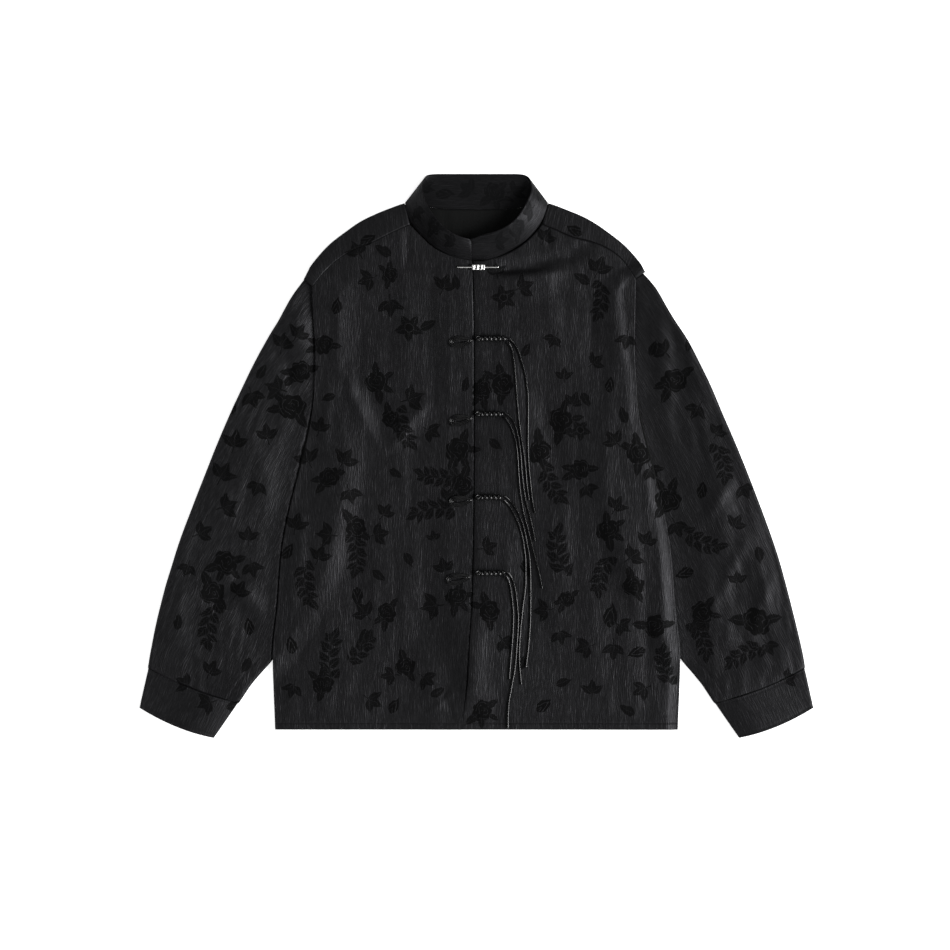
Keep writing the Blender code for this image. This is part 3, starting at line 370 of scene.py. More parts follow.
SHOULDER_CORNER = {side: edges[-1] for side, edges in BODY_EDGE.items()}

SLEEVE_WRINKLES = [Crease(*row) for row in [
    (-345, -195, -294, -144, 14, -3.6), (-385, -150, -398, -250, 20, 2.8),
    (-243, -205, -276, -262, 12, 2.6), (262, 190, 305, 60, 24, 3.4), (305, -15, 334, -134, 20, 3.2),
    (312, -306, 424, -260, 26, 2.6), (-300, 40, -330, -90, 20, 2), (-350, -60, -300, -100, 7, 0.7),
    (-380, -180, -300, -150, 8, 0.8), (-250, 170, -236, 60, 5, -0.9), (-226, 200, -214, 140, 4, 0.9),
    (-400, -240, -350, -262, 6, 0.7), (330, -30, 290, -90, 8, 1.2), (350, -100, 310, -190, 9, 1.7),
    (380, -150, 352, -250, 8, 1.5), (222, 210, 226, 120, 5, -1), (246, 180, 252, 60, 6, 0.7),
    (276, 80, 296, -20, 6, -0.7), (330, -200, 380, -268, 7, 1.3),
]]

# Figures on the collar band, by the distance along it from its right end and the height above its seam
COLLAR_STAMPS = [Stamp(*row) for row in [
    (24, 20, TRIO, 20, 13), (58, 26, ROSE, 40, 12), (92, 18, TRIO, 200, 13), (128, 24, TRIO, 60, 14),
    (160, 20, BUD, 0, 13), (192, 24, TRIO, 150, 15), (222, 22, ROSE, 20, 14), (246, 24, TRIO, 10, 14),
    (284, 20, BUD, 170, 13), (312, 24, TRIO, 30, 14), (344, 22, ROSE, 0, 12), (376, 20, TRIO, 190, 14),
]]

# Leaves round a rose, which take turns: way it grows in degrees, distance and size as shares of the rose
ROSE_LEAVES = (
    ((70.0, 1.2, 0.78), (118.0, 1.35, 0.66), (235.0, 1.2, 0.74)),
    ((15.0, 1.2, 0.70), (200.0, 1.3, 0.80), (248.0, 1.2, 0.62), (310.0, 1.3, 0.56)),
    ((95.0, 1.3, 0.84), (290.0, 1.2, 0.70)),
    ((150.0, 1.2, 0.66), (190.0, 1.35, 0.76), (345.0, 1.25, 0.7)),
)

# Surface maps of the woven figures: how far apart their numbers are kept, their reach and their layers
SPAN = 4.0
REACH = {ROSE: 1.2, STAR: 1.2, BUD: 1.15, LEAF: 1.1, TRIO: 1.45, SPRAY: 1.4}
LAYERS = {"flowers": (ROSE, STAR, BUD), "leaves": (LEAF, TRIO), "sprays": (SPRAY,)}
VARIATIONS = 5

# Leaves of the woven figures
STAR_RAY, BUD_PETAL = Blade(1.0, 0.31), Blade(1.9, 0.56)
SINGLE_LEAF, TOP_LEAF, SIDE_LEAF = Blade(1.8, 0.47), Blade(1.4, 0.38), Blade(1.26, 0.35)
SPRAY_LEAF, SPRAY_TIP = Blade(0.68, 0.19), Blade(0.62, 0.20)

# A leaf's fullness at its foot and point, its soft edge, and the widths and spacing of its veins
FOOT, POINT, FULLNESS = 0.75, 1.2, 3.6
SOFT_EDGE, SOFT_LINE = 0.05, 0.02
RIB, VEIN, VEIN_STEP, VEIN_SLANT, VEIN_SHARE = 0.012, 0.016, 0.14, -0.9, 0.45

# Lengths of the loose cord ends
TAIL_LENGTHS = {"tail_1_inner": 209.0, "tail_1_outer": 233.0, "tail_2_inner": 232.0, "tail_2_outer": 173.0,
                "tail_3_inner": 249.0, "tail_3_outer": 232.0, "tail_4_inner": 138.0, "tail_4_outer": 207.0}


def graph(rows: Sequence[Sequence[float]], x: Array | float) -> Array:
    """Read a smooth curve through rows of place and value, level beyond its ends.

    Args:
        rows: places in rising order, each with its value.
        x: where to read it.

    Returns:
        The value at each x.
    """
    knots, values = np.array([tuple(row)[:2] for row in rows], float).T
    step = np.diff(knots)
    rise = np.diff(values) / step
    slope = np.concatenate([rise[:1], np.zeros(len(knots) - 2), rise[-1:]])
    steady = rise[1:] * rise[:-1] > 0
    slope[1:-1][steady] = 2 * rise[1:][steady] * rise[:-1][steady] / (rise[1:] + rise[:-1])[steady]
    x = np.clip(np.asarray(x, float), knots[0], knots[-1])
    k = np.clip(np.searchsorted(knots, x, "right") - 1, 0, len(step) - 1)
    t = (x - knots[k]) / step[k]
    return ((1 + 2 * t) * (1 - t) ** 2 * values[k] + t * (1 - t) ** 2 * step[k] * slope[k]
            + t * t * (3 - 2 * t) * values[k + 1] + t * t * (t - 1) * step[k] * slope[k + 1])


def along(points: Sequence[Sequence[float]] | Array, share: Array | float) -> Array:
    """Find places at shares of the length of the smooth line through points.

    Args:
        points: the line's points, of two or three coordinates.
        share: shares from 0 to 1.

    Returns:
        The places, with their coordinates on the last axis.
    """
    line = np.array([tuple(point) for point in points], float)
    run = np.concatenate([[0.0], np.cumsum(np.linalg.norm(np.diff(line, axis=0), axis=1))])
    at = np.asarray(share, float) * run[-1]
    return np.stack([graph(np.stack([run, column], 1), at) for column in line.T], -1)


def ease(t: Array | float) -> Array:
    """Smooth step from 0 to 1."""
    t = np.clip(t, 0.0, 1.0)
    return t * t * (3 - 2 * t)


def creases(rows: Sequence[Crease], x: Array, y: Array) -> Array:
    """Add up the heights of a table's folds.

    Args:
        rows: the folds.
        x: where to read them across the garment.
        y: where to read them up the garment.

    Returns:
        The height that they add, each fading towards its two ends.
    """
    total = np.zeros(np.broadcast(x, y).shape)
    for row in rows:
        run_x, run_y = row.to_x - row.from_x, row.to_y - row.from_y
        length = math.hypot(run_x, run_y)
        along_it = ((x - row.from_x) * run_x + (y - row.from_y) * run_y) / length
        beside = ((x - row.from_x) * run_y - (y - row.from_y) * run_x) / length
        fade = ease(along_it / length * 2.5 + 0.3) * ease((1 - along_it / length) * 2.5 + 0.3)
        total = total + row.rise * fade * np.exp(-(beside / row.width) ** 2)
    return total


def ripple(across: Array, down: Array, wide: float, long: float, seed: float) -> Array:
    """Shape the cloth's gentle random ripples.

    Args:
        across: places across the grain.
        down: places along the grain.
        wide: usual width of a ripple.
        long: usual length of a ripple.
        seed: which pattern of ripples.

    Returns:
        A smooth height between -1 and 1 at each place.
    """
    u = across / wide + 3.0 * np.sin(down / long * 0.7 + seed) * 0.2
    v = down / long
    iu, iv = np.floor(u), np.floor(v)
    fu, fv = ease(u - iu), ease(v - iv)

    def chance(a: Array, b: Array) -> Array:
        """Even chance between -1 and 1 for each corner of the grid."""
        return np.modf(np.abs(np.sin(a * 12.9898 + b * 78.233 + seed * 37.719) * 43758.5453))[0] * 2 - 1

    low = chance(iu, iv) * (1 - fu) + chance(iu + 1, iv) * fu
    high = chance(iu, iv + 1) * (1 - fu) + chance(iu + 1, iv + 1) * fu
    return low * (1 - fv) + high * fv


def ripples(rows: Sequence[Ripple], across: Array, down: Array, other: float = 0.0) -> Array:
    """Add up ripples of several sizes, in another pattern where other isn't zero."""
    return sum(row.height * ripple(across, down, row.wide, row.long, row.seed + other) for row in rows)


def body_edge(x: Array, y: Array) -> Array:
    """Half-width of the body at height y on the side of x."""
    return np.where(x < 0, graph(BODY_EDGE[RIGHT], y), graph(BODY_EDGE[LEFT], y))


def lift(x: Array, y: Array) -> Array:
    """How far the body is raised over the sleeve that is tucked beneath it."""
    return LIFT * ease((np.abs(x) - graph(SLEEVE_REACH, y)) / LIFT_RUN + 1.0)


def lowest_front(x: Array, y: Array) -> Array:
    """Height of the middle of a front that lies close on the back."""
    return lift(x, y) + 1.5 * WALL + LAYER_GAP


def front_height(x: Array, y: Array) -> Array:
    """Read the height of the middle of the fronts' cloth.

    Args:
        x: places across the garment.
        y: places up the garment.

    Returns:
        The height, with the folds that fade towards the sides, hem and shoulders.
    """
    at_side = ease((body_edge(x, y) - np.abs(x)) / SIDE_FADE)
    at_hem = ease((y - HEM) / HEM_FADE)
    at_shoulder = ease((graph(SHOULDER_FOLD, np.abs(x)) - y) / SHOULDER_FADE)
    loose = at_side * at_hem * at_shoulder
    return lowest_front(x, y) + np.maximum(0.0, loose * (AIR + creases(FRONT_CREASES, x, y)) + EDGE_AIR)


def worn_front(x: Array, y: Array) -> Array:
    """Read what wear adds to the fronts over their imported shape.

    Args:
        x: places across the garment.
        y: places up the garment.

    Returns:
        The height of the wrinkles, the hem's stitching, the ripples and the rolled left side.
    """
    beside = body_edge(x, y) - np.abs(x)
    hem = y - HEM
    turned = HEM_TURN * ease((TURN_UP - hem) / TURN_FADE)
    stitched = turned - STITCH_DEPTH * np.exp(-((hem - STITCH_UP) / STITCH_WIDTH) ** 2)
    soft = ripples(FRONT_RIPPLES, x, y)
    rolled = (x > 0) * SIDE_ROLL * ease(beside / ROLL_RUN)
    rolled = rolled * np.exp(-(np.maximum(beside - ROLL_RUN, 0.0) / ROLL_FADE) ** 2)
    below_fold = graph(SHOULDER_FOLD, np.abs(x)) - y - ROLL_CLEAR
    growing = ROLL_LEAST + (1 - ROLL_LEAST) * ease((ROLL_TOP - y) / ROLL_LENGTH)
    rolled = rolled * ease(below_fold / SHOULDER_FADE) * growing
    free = ease(beside / EDGE_FADE)
    return free * (creases(FRONT_WRINKLES, x, y) + soft * ease(hem / (2 * EDGE_FADE))) + stitched + rolled


def right_front_height(x: Array, y: Array) -> Array:
    """Read the height of the right front, raised where the left one runs under it.

    Args:
        x: places across the garment.
        y: places up the garment.

    Returns:
        The height of the middle of the cloth.
    """
    inside = graph(PLACKET, y) - x
    raised = PLACKET_RISE * ease((UNDERLAP + PLACKET_RUN + PLACKET_CLEAR - inside) / PLACKET_RUN)
    worn = worn_front(x, y) * ease(inside / EDGE_FADE)
    return front_height(x, y) + raised + worn + creases(PLACKET_FOLDS, x, y)


def left_front_height(x: Array, y: Array) -> Array:
    """Read the height of the left front, which dips towards the right one's edge and is pressed there.

    Args:
        x: places across the garment.
        y: places up the garment.

    Returns:
        The height of the middle of the cloth.
    """
    inside = x - graph(PLACKET, y)
    loose = ease((y - HEM) / HEM_FADE)
    dip = PLACKET_DIP * ease((DIP_START - inside) / DIP_RUN) * loose
    sunk = np.maximum(front_height(x, y) - dip, lowest_front(x, y))
    pressed = loose * np.exp(-((inside - PRESSED_AT) / PRESSED_WIDTH) ** 2)
    worn = worn_front(x, y) * ease((inside + 2.0) / EDGE_FADE)
    return sunk + worn - pressed + creases(PLACKET_FOLDS, x, y)


def sleeve_height(x: Array, y: Array) -> Array:
    """Read the height of the middle of a sleeve's upper wall.

    Args:
        x: places across the garment.
        y: places up the garment.

    Returns:
        The height: flattened under the body, looser outside it.
    """
    clear = ease((np.abs(x) - body_edge(x, y) - SLEEVE_CLEAR) / SLEEVE_FADE)
    flat = SLEEVE_HEIGHT - WALL / 2
    return flat + clear * np.maximum(0.0, SLEEVE_AIR + creases(SLEEVE_CREASES, x, y))


def placket_edge(y: float) -> float:
    """The right front's free edge, x at a height."""
    return float(graph(PLACKET, y))


def underlap_edge(y: float) -> float:
    """The left front's free edge, hidden under the right front."""
    return placket_edge(y) - UNDERLAP


class Value:
    """A number that changes over a surface, written as a sum is and kept as shader nodes."""

    def __init__(self, tree: bpy.types.NodeTree, socket: bpy.types.NodeSocket) -> None:
        """Wrap a node's output."""
        self.tree, self.socket = tree, socket

    def act(self, operation: str, *others: "Value | float", clamp: bool = False) -> "Value":
        """Add a math node that works on this number.

        Args:
            operation: the node's operation.
            others: its other inputs, numbers or values.
            clamp: whether the result is kept between 0 and 1.

        Returns:
            The result.
        """
        node = self.tree.nodes.new("ShaderNodeMath")
        node.operation, node.use_clamp = operation, clamp
        self.tree.links.new(self.socket, node.inputs[0])
        for slot, other in zip(list(node.inputs)[1:], others):
            if isinstance(other, Value):
                self.tree.links.new(other.socket, slot)
            else:
                slot.default_value = float(other)
        return Value(self.tree, node.outputs[0])

    def __add__(self, other: "Value | float") -> "Value":
        """Sum."""
        return self.act("ADD", other)

    def __sub__(self, other: "Value | float") -> "Value":
        """Difference."""
        return self.act("SUBTRACT", other)

    def __rsub__(self, other: float) -> "Value":
        """Difference from a plain number."""
        return self.act("MULTIPLY_ADD", -1.0, other)

    def __mul__(self, other: "Value | float") -> "Value":
        """Product."""
        return self.act("MULTIPLY", other)

    def __abs__(self) -> "Value":
        """Size without its sign."""
        return self.act("ABSOLUTE")

    def below(self, edge: "Value | float", soft: float) -> "Value":
        """1 where this is below an edge and 0 above it, over a soft width."""
        gap = self.act("SUBTRACT", edge)
        return gap.act("MULTIPLY_ADD", -1.0 / soft, 0.5, clamp=True)

    def most(self, other: "Value | float") -> "Value":
        """The larger of two."""
        return self.act("MAXIMUM", other)

    def fold(self, step: float) -> "Value":
        """Part of this beyond the last whole step, from 0 to the step."""
        return self.act("FLOORED_MODULO", step)

    def turned(self, other: "Value", angle: float) -> "tuple[Value, Value]":
        """Both coordinates of this place and another, read in axes turned by an angle in degrees."""
        c, s = math.cos(math.radians(angle)), math.sin(math.radians(angle))
        return (self * c + other * s), (other * c - self * s)


def leaf(u: Value, v: Value, blade: Blade) -> tuple[Value, Value]:
    """Draw a pointed oval leaf that grows along u from the middle.

    Args:
        u: place along the leaf.
        v: place beside it.
        blade: its outline.

    Returns:
        The leaf, and its midrib and side veins.
    """
    t = u * (1.0 / blade.length)
    full = t.most(0.0).act("POWER", FOOT) * (1.0 - t).most(0.0).act("POWER", POINT)
    wide = full * (blade.half * FULLNESS) - 0.004
    beside = abs(v)
    shape = beside.below(wide, SOFT_EDGE)
    rib = beside.below(RIB, SOFT_LINE) * shape
    slant = (u + beside * VEIN_SLANT).fold(VEIN_STEP)
    veins = abs(slant - VEIN_STEP / 2).below(VEIN, SOFT_LINE) * shape * VEIN_SHARE
    return shape, rib.most(veins)


def surface_map(tree: bpy.types.NodeTree, name: str) -> tuple[Value, Value]:
    """Both coordinates of one of the piece's own surface maps."""
    place = tree.nodes.new("ShaderNodeUVMap")
    place.uv_map = name
    split = tree.nodes.new("ShaderNodeSeparateXYZ")
    tree.links.new(place.outputs[0], split.inputs[0])
    return Value(tree, split.outputs[0]), Value(tree, split.outputs[1])


def grain_noise(tree: bpy.types.NodeTree, u: Value, v: Value, detail: float) -> Value:
    """Smooth noise over two coordinates that are already counted in its own spacing."""
    join = tree.nodes.new("ShaderNodeCombineXYZ")
    tree.links.new(u.socket, join.inputs[0])
    tree.links.new(v.socket, join.inputs[1])
    noise = tree.nodes.new("ShaderNodeTexNoise")
    noise.inputs["Scale"].default_value = 1.0
    noise.inputs["Detail"].default_value = detail
    tree.links.new(join.outputs[0], noise.inputs["Vector"])
    return Value(tree, noise.outputs[0])


def object_noise(tree: bpy.types.NodeTree, scale: float) -> Value:
    """Smooth noise over a piece's own places."""
    place = tree.nodes.new("ShaderNodeTexCoord")
    noise = tree.nodes.new("ShaderNodeTexNoise")
    noise.inputs["Scale"].default_value = scale
    tree.links.new(place.outputs["Object"], noise.inputs["Vector"])
    return Value(tree, noise.outputs[0])


def mix_colour(tree: bpy.types.NodeTree, share: Value, low: Sequence[float] | bpy.types.NodeSocket,
               high: Sequence[float]) -> bpy.types.NodeSocket:
    """Blend two colours by a share.

    Args:
        tree: the material's nodes.
        share: 0 for the first colour and 1 for the second.
        low: the first colour, or a node's colour output.
        high: the second colour.

    Returns:
        The blended colour's output.
    """
    mix = tree.nodes.new("ShaderNodeMix")
    mix.data_type = "RGBA"
    tree.links.new(share.socket, mix.inputs["Factor"])
    if isinstance(low, bpy.types.NodeSocket):
        tree.links.new(low, mix.inputs[6])
    else:
        mix.inputs[6].default_value = (*low, 1.0)
    mix.inputs[7].default_value = (*high, 1.0)
    return mix.outputs[2]


def blank_material(name: str) -> tuple[bpy.types.Material, bpy.types.NodeTree, bpy.types.Node]:
    """New material with its nodes and its surface shader."""
    material = bpy.data.materials.new(name)
    material.use_nodes = True
    return material, material.node_tree, material.node_tree.nodes["Principled BSDF"]


def raise_bump(tree: bpy.types.NodeTree, shader: bpy.types.Node, height: Value, distance: float) -> None:
    """Give a shader relief of a depth in metres."""
    bump = tree.nodes.new("ShaderNodeBump")
    bump.inputs["Strength"].default_value = 1.0
    bump.inputs["Distance"].default_value = distance
    tree.links.new(height.socket, bump.inputs["Height"])
    tree.links.new(bump.outputs[0], shader.inputs["Normal"])


@dataclass(frozen=True)
class SatinJacquard:
    """Black satin with a bark-like crinkle along the grain and matt woven roses and leaves."""

    name: str = "satin_jacquard"
    ground: tuple[float, float, float] = (0.0216, 0.0216, 0.0230)
    figure: tuple[float, float, float] = (0.0054, 0.0055, 0.0056)
    shine: float = 0.48
    matt: float = 0.66
    lustre: float = 0.8
    furrow: float = 0.0027
    furrow_length: float = 0.024
    relief: float = 0.00055

    def placed(self, tree: bpy.types.NodeTree, layer: str) -> tuple[Value, Value, Value, Value]:
        """Read a layer of woven figures.

        Args:
            tree: the material's nodes.
            layer: name of the surface map that holds the layer.

        Returns:
            Which figure is here, which variation of it, and the place in its own unit frame.
        """
        u, v = surface_map(tree, layer)
        kind, turn = u.act("ROUND"), v.act("ROUND")
        across, down = (u - kind) * SPAN, (v - turn) * SPAN
        uneven = grain_noise(tree, across * 2.4 + turn * 7.0, down * 2.4 + turn * 3.0, 1.0) - 0.5
        return kind, turn, across + uneven * 0.22, down + uneven * 0.3

    def flowers(self, tree: bpy.types.NodeTree) -> tuple[Value, Value]:
        """Draw the roses, stars and buds.

        Args:
            tree: the material's nodes.

        Returns:
            The flowers, and the lighter lines between their petals.
        """
        kind, turn, u, v = self.placed(tree, "flowers")
        r = (u * u + v * v).act("SQRT")
        angle = v.act("ARCTAN2", u)
        petals = abs((angle * 3.5 + turn).act("SINE")) * 0.14 + (angle * 2.0 + turn * 2.0).act("SINE") * 0.07
        rose = r.below(petals + 0.84, SOFT_EDGE)
        uneven = (angle * 3.0 + r * 4.0 + turn).act("COSINE") * 0.34
        coil = (r * 3.4 + angle * (0.5 / math.pi) + uneven).fold(1.0)
        broken = (angle * 2.0 + r * 7.0 + turn).act("SINE").below(0.45, 0.2)
        coils = abs(coil - 0.5).below(0.07, 0.08) * broken * rose
        ray = angle.fold(2 * math.pi / 5) - math.pi / 5
        star, star_veins = leaf(r * ray.act("COSINE") * 0.98, r * ray.act("SINE"), STAR_RAY)
        heart = r.below(0.25, SOFT_EDGE)
        star = star.most(heart)
        star_veins = (star_veins * (1.0 - heart)).most(abs(r - 0.27).below(0.03, 0.03))
        bud, _ = leaf(u + BUD_PETAL.length / 2, v, BUD_PETAL)
        seam = abs(v) + u * 0.35 - 0.18
        bud_lines = abs(seam).below(0.035, 0.03).most(abs(seam + 0.3).below(0.02, 0.03)) * bud
        shape, lines = None, None
        for which, body, marks in ((ROSE, rose, coils), (STAR, star, star_veins), (BUD, bud, bud_lines)):
            here = kind.act("COMPARE", float(which), 0.5)
            shape = body * here if shape is None else shape + body * here
            lines = marks * here if lines is None else lines + marks * here
        return shape, lines

    def leaves(self, tree: bpy.types.NodeTree) -> tuple[Value, Value]:
        """Draw the single leaves and the groups of three.

        Args:
            tree: the material's nodes.

        Returns:
            The leaves and their veins.
        """
        kind, turn, u, v = self.placed(tree, "leaves")
        single, single_veins = leaf(u + SINGLE_LEAF.length / 2, v, SINGLE_LEAF)
        top, top_veins = leaf(u + 0.08, v, TOP_LEAF)
        a, b = u.turned(abs(v), 56.0)
        sides, side_veins = leaf(a, b, SIDE_LEAF)
        stem = abs(v + u * u * 0.25).below(0.04, 0.04) * abs(u + 0.3).below(0.32, 0.03)
        trio = top.most(sides).most(stem)
        is_single = kind.act("COMPARE", float(LEAF), 0.5)
        is_trio = kind.act("COMPARE", float(TRIO), 0.5)
        return (single * is_single + trio * is_trio,
                single_veins * is_single + top_veins.most(side_veins) * is_trio)

    def sprays(self, tree: bpy.types.NodeTree) -> tuple[Value, Value]:
        """Draw the branches with leaves in pairs.

        Args:
            tree: the material's nodes.

        Returns:
            The branches and their leaves' veins.
        """
        kind, turn, u, v = self.placed(tree, "sprays")
        bent = v - u * u * 0.2
        side = abs(bent)
        stem = side.below(0.022, 0.02) * abs(u).below(0.96, 0.02)
        one_side = bent.act("SIGN") * 0.11
        a, b = ((u + one_side + 1.0).fold(0.48) - 0.02).turned(side, 47.0)
        pairs, pair_veins = leaf(a, b, SPRAY_LEAF)
        held = abs(u + one_side + 0.12).below(0.88, 0.01)
        tip, tip_veins = leaf(u - SPRAY_TIP.length, bent, SPRAY_TIP)
        here = kind.act("COMPARE", float(SPRAY), 0.5)
        return ((pairs * held).most(tip).most(stem) * here, (pair_veins * held).most(tip_veins) * here)

    def material(self) -> bpy.types.Material:
        """Build the cloth's material from its surface maps."""
        material, tree, shader = blank_material(self.name)
        across, down = surface_map(tree, "grain")
        shapes, veins = None, None
        for shape, lines in (self.flowers(tree), self.leaves(tree), self.sprays(tree)):
            shapes = shape if shapes is None else shapes.most(shape)
            veins = lines if veins is None else veins.most(lines)
        woven = shapes * (veins * -0.8 + 1.0)
        sway = grain_noise(tree, across * 14.0, down * 22.0, 1.0)
        swayed = across + (sway - 0.5) * 0.009
        bark = grain_noise(tree, swayed * (1.0 / self.furrow), down * (1.0 / self.furrow_length), 2.0)
        fine = grain_noise(tree, swayed * (1.6 / self.furrow), down * (1.8 / self.furrow_length), 1.0)
        furrows = abs(bark - 0.5).act("MULTIPLY", 3.4, clamp=True)
        threads = (across * (2 * math.pi / 0.0007)).act("SINE") * 0.02
        flat = woven * -0.4 + 1.0
        raise_bump(tree, shader, (furrows * 0.5 + fine * 0.42) * flat + threads + woven * -0.02, self.relief)
        worn = grain_noise(tree, across * 18.0, down * 9.0, 2.0)
        # Base colour varies at random with the worn noise, and is darker in the crinkle's furrows as painted
        # shade and lighter on its fine ridges as a painted sheen
        tone_and_crinkle_shade = (worn * 0.5 + 0.3) * (furrows * 0.6 + 0.4) + fine * 0.22
        dim, bright = (tuple(c * share for c in self.ground) for share in (0.3, 1.7))
        cloth = mix_colour(tree, tone_and_crinkle_shade, dim, bright)
        tree.links.new(mix_colour(tree, woven, cloth, self.figure), shader.inputs["Base Color"])
        rough = woven * (self.matt - self.shine) + (furrows * -0.04 + (self.shine + 0.02))
        tree.links.new(rough.socket, shader.inputs["Roughness"])
        shader.inputs["Metallic"].default_value = self.lustre
        shader.inputs["Specular IOR Level"].default_value = 0.0
        return material


@dataclass(frozen=True)
class PlainReverse:
    """Duller reverse of the cloth, seen inside the neck."""

    colour: tuple[float, float, float] = (0.0034, 0.0037, 0.0037)
    roughness: float = 0.8

    def material(self) -> bpy.types.Material:
        """Build the reverse's material."""
        material, tree, shader = blank_material("plain_reverse")
        across, down = surface_map(tree, "grain")
        slub = grain_noise(tree, across * 420.0, down * 60.0, 2.0)
        weave = (across * (2 * math.pi / 0.0009)).act("SINE") * (down * (2 * math.pi / 0.0009)).act("SINE")
        raise_bump(tree, shader, slub + weave * 0.15, 0.0003)
        dark = tuple(c * 0.7 for c in self.colour)
        tree.links.new(mix_colour(tree, slub, dark, self.colour), shader.inputs["Base Color"])
        shader.inputs["Roughness"].default_value = self.roughness
        shader.inputs["Specular IOR Level"].default_value = 0.12
        return material


@dataclass(frozen=True)
class WaxedCord:
    """Black waxed cord with the twist of its yarns."""

    colour: tuple[float, float, float] = (0.0016, 0.0016, 0.0018)
    roughness: float = 0.22
    twist: float = 0.0042
    yarns: float = 3.0

    def material(self) -> bpy.types.Material:
        """Build the cord's material on its own length and girth."""
        material, tree, shader = blank_material("waxed_cord")
        run, girth = surface_map(tree, "grain")
        lay = ((run * (1.0 / self.twist) + girth) * (2 * math.pi * self.yarns)).act("SINE")
        wear = grain_noise(tree, run * 300.0, girth * 4.0, 2.0)
        raise_bump(tree, shader, lay * 0.07 + wear * 0.14, 0.00016)
        light = tuple(c * 2.0 for c in self.colour)
        tree.links.new(mix_colour(tree, wear, self.colour, light), shader.inputs["Base Color"])
        tree.links.new((wear * 0.16 + (self.roughness - 0.08)).socket, shader.inputs["Roughness"])
        shader.inputs["Specular IOR Level"].default_value = 0.42
        shader.inputs["Coat Weight"].default_value = 0.1
        shader.inputs["Coat Roughness"].default_value = 0.12
        return material


@dataclass(frozen=True)
class Thread:
    """Black sewing thread."""

    colour: tuple[float, float, float] = (0.002, 0.002, 0.0022)

    def material(self) -> bpy.types.Material:
        """Build the thread's material, with its ply."""
        material, tree, shader = blank_material("sewing_thread")
        place = tree.nodes.new("ShaderNodeTexCoord")
        wave = tree.nodes.new("ShaderNodeTexWave")
        wave.bands_direction = "DIAGONAL"
        wave.inputs["Scale"].default_value = 900.0
        tree.links.new(place.outputs["Object"], wave.inputs["Vector"])
        ply = Value(tree, wave.outputs["Fac"])
        raise_bump(tree, shader, ply, 0.0001)
        twisted = mix_colour(tree, ply, self.colour, (0.006, 0.006, 0.0063))
        tree.links.new(twisted, shader.inputs["Base Color"])
        shader.inputs["Roughness"].default_value = 0.8
        shader.inputs["Specular IOR Level"].default_value = 0.15
        return material


@dataclass(frozen=True)
class Silver:
    """Polished silver with fine wear."""

    colour: tuple[float, float, float] = (0.90, 0.90, 0.88)
    roughness: float = 0.30
    wear: float = 900.0

    def material(self) -> bpy.types.Material:
        """Build the metal's material."""
        material, tree, shader = blank_material("silver")
        wear = object_noise(tree, self.wear)
        raise_bump(tree, shader, wear, 0.00006)
        tarnish = tuple(c * 0.72 for c in self.colour)
        tree.links.new(mix_colour(tree, wear, tarnish, self.colour), shader.inputs["Base Color"])
        tree.links.new((wear * 0.18 + (self.roughness - 0.06)).socket, shader.inputs["Roughness"])
        shader.inputs["Metallic"].default_value = 1.0
        return material


@dataclass(frozen=True)
class Enamel:
    """Dark fill in the pin's sunk dots."""

    colour: tuple[float, float, float] = (0.012, 0.012, 0.013)
    light: tuple[float, float, float] = (0.03, 0.03, 0.03)
    roughness: float = 0.35
    grain: float = 1500.0

    def material(self) -> bpy.types.Material:
        """Build the fill's material."""
        material, tree, shader = blank_material("dark_fill")
        speck = object_noise(tree, self.grain)
        tree.links.new(mix_colour(tree, speck, self.colour, self.light), shader.inputs["Base Color"])
        shader.inputs["Roughness"].default_value = self.roughness
        return material


@dataclass(frozen=True)
class Weave:
    """Middle of a piece of cloth as a grid of points, with the same grid's places along its grain."""

    points: Array
    grain: Array
    turned: bool = False
    present: Array | None = None

    def faces(self) -> tuple[Array, Array]:
        """Wind the grid's quads.

        Returns:
            The quads by points, and by places along the grain, which a ring has one more of.
        """
        columns, rows = self.points.shape[:2]
        span = self.grain.shape[1]
        c, r = np.meshgrid(np.arange(columns - 1), np.arange(span - 1), indexing="ij")
        around = (r + 1) % rows
        corners = np.stack([c * rows + r, (c + 1) * rows + r, (c + 1) * rows + around, c * rows + around], -1)
        places = np.stack([c * span + r, (c + 1) * span + r, (c + 1) * span + r + 1, c * span + r + 1], -1)
        corners, places = corners.reshape(-1, 4), places.reshape(-1, 4)
        if self.present is not None:
            kept = self.present.reshape(-1)[corners].all(1)
            corners, places = corners[kept], places[kept]
        if self.turned:
            corners, places = corners[:, ::-1], places[:, ::-1]
        return corners, places


def with_leaves(stamps: Sequence[Stamp]) -> list[Stamp]:
    """Add the leaves that stand round each rose."""
    leaves = []
    for number, rose in enumerate(stamp for stamp in stamps if stamp.figure == ROSE):
        for turn, out, share in ROSE_LEAVES[number % len(ROSE_LEAVES)]:
            way = math.radians(rose.turn + turn)
            x, y = rose.x + math.cos(way) * out * rose.size, rose.y + math.sin(way) * out * rose.size
            leaves.append(Stamp(x, y, LEAF, rose.turn + turn, rose.size * share))
    return list(stamps) + leaves


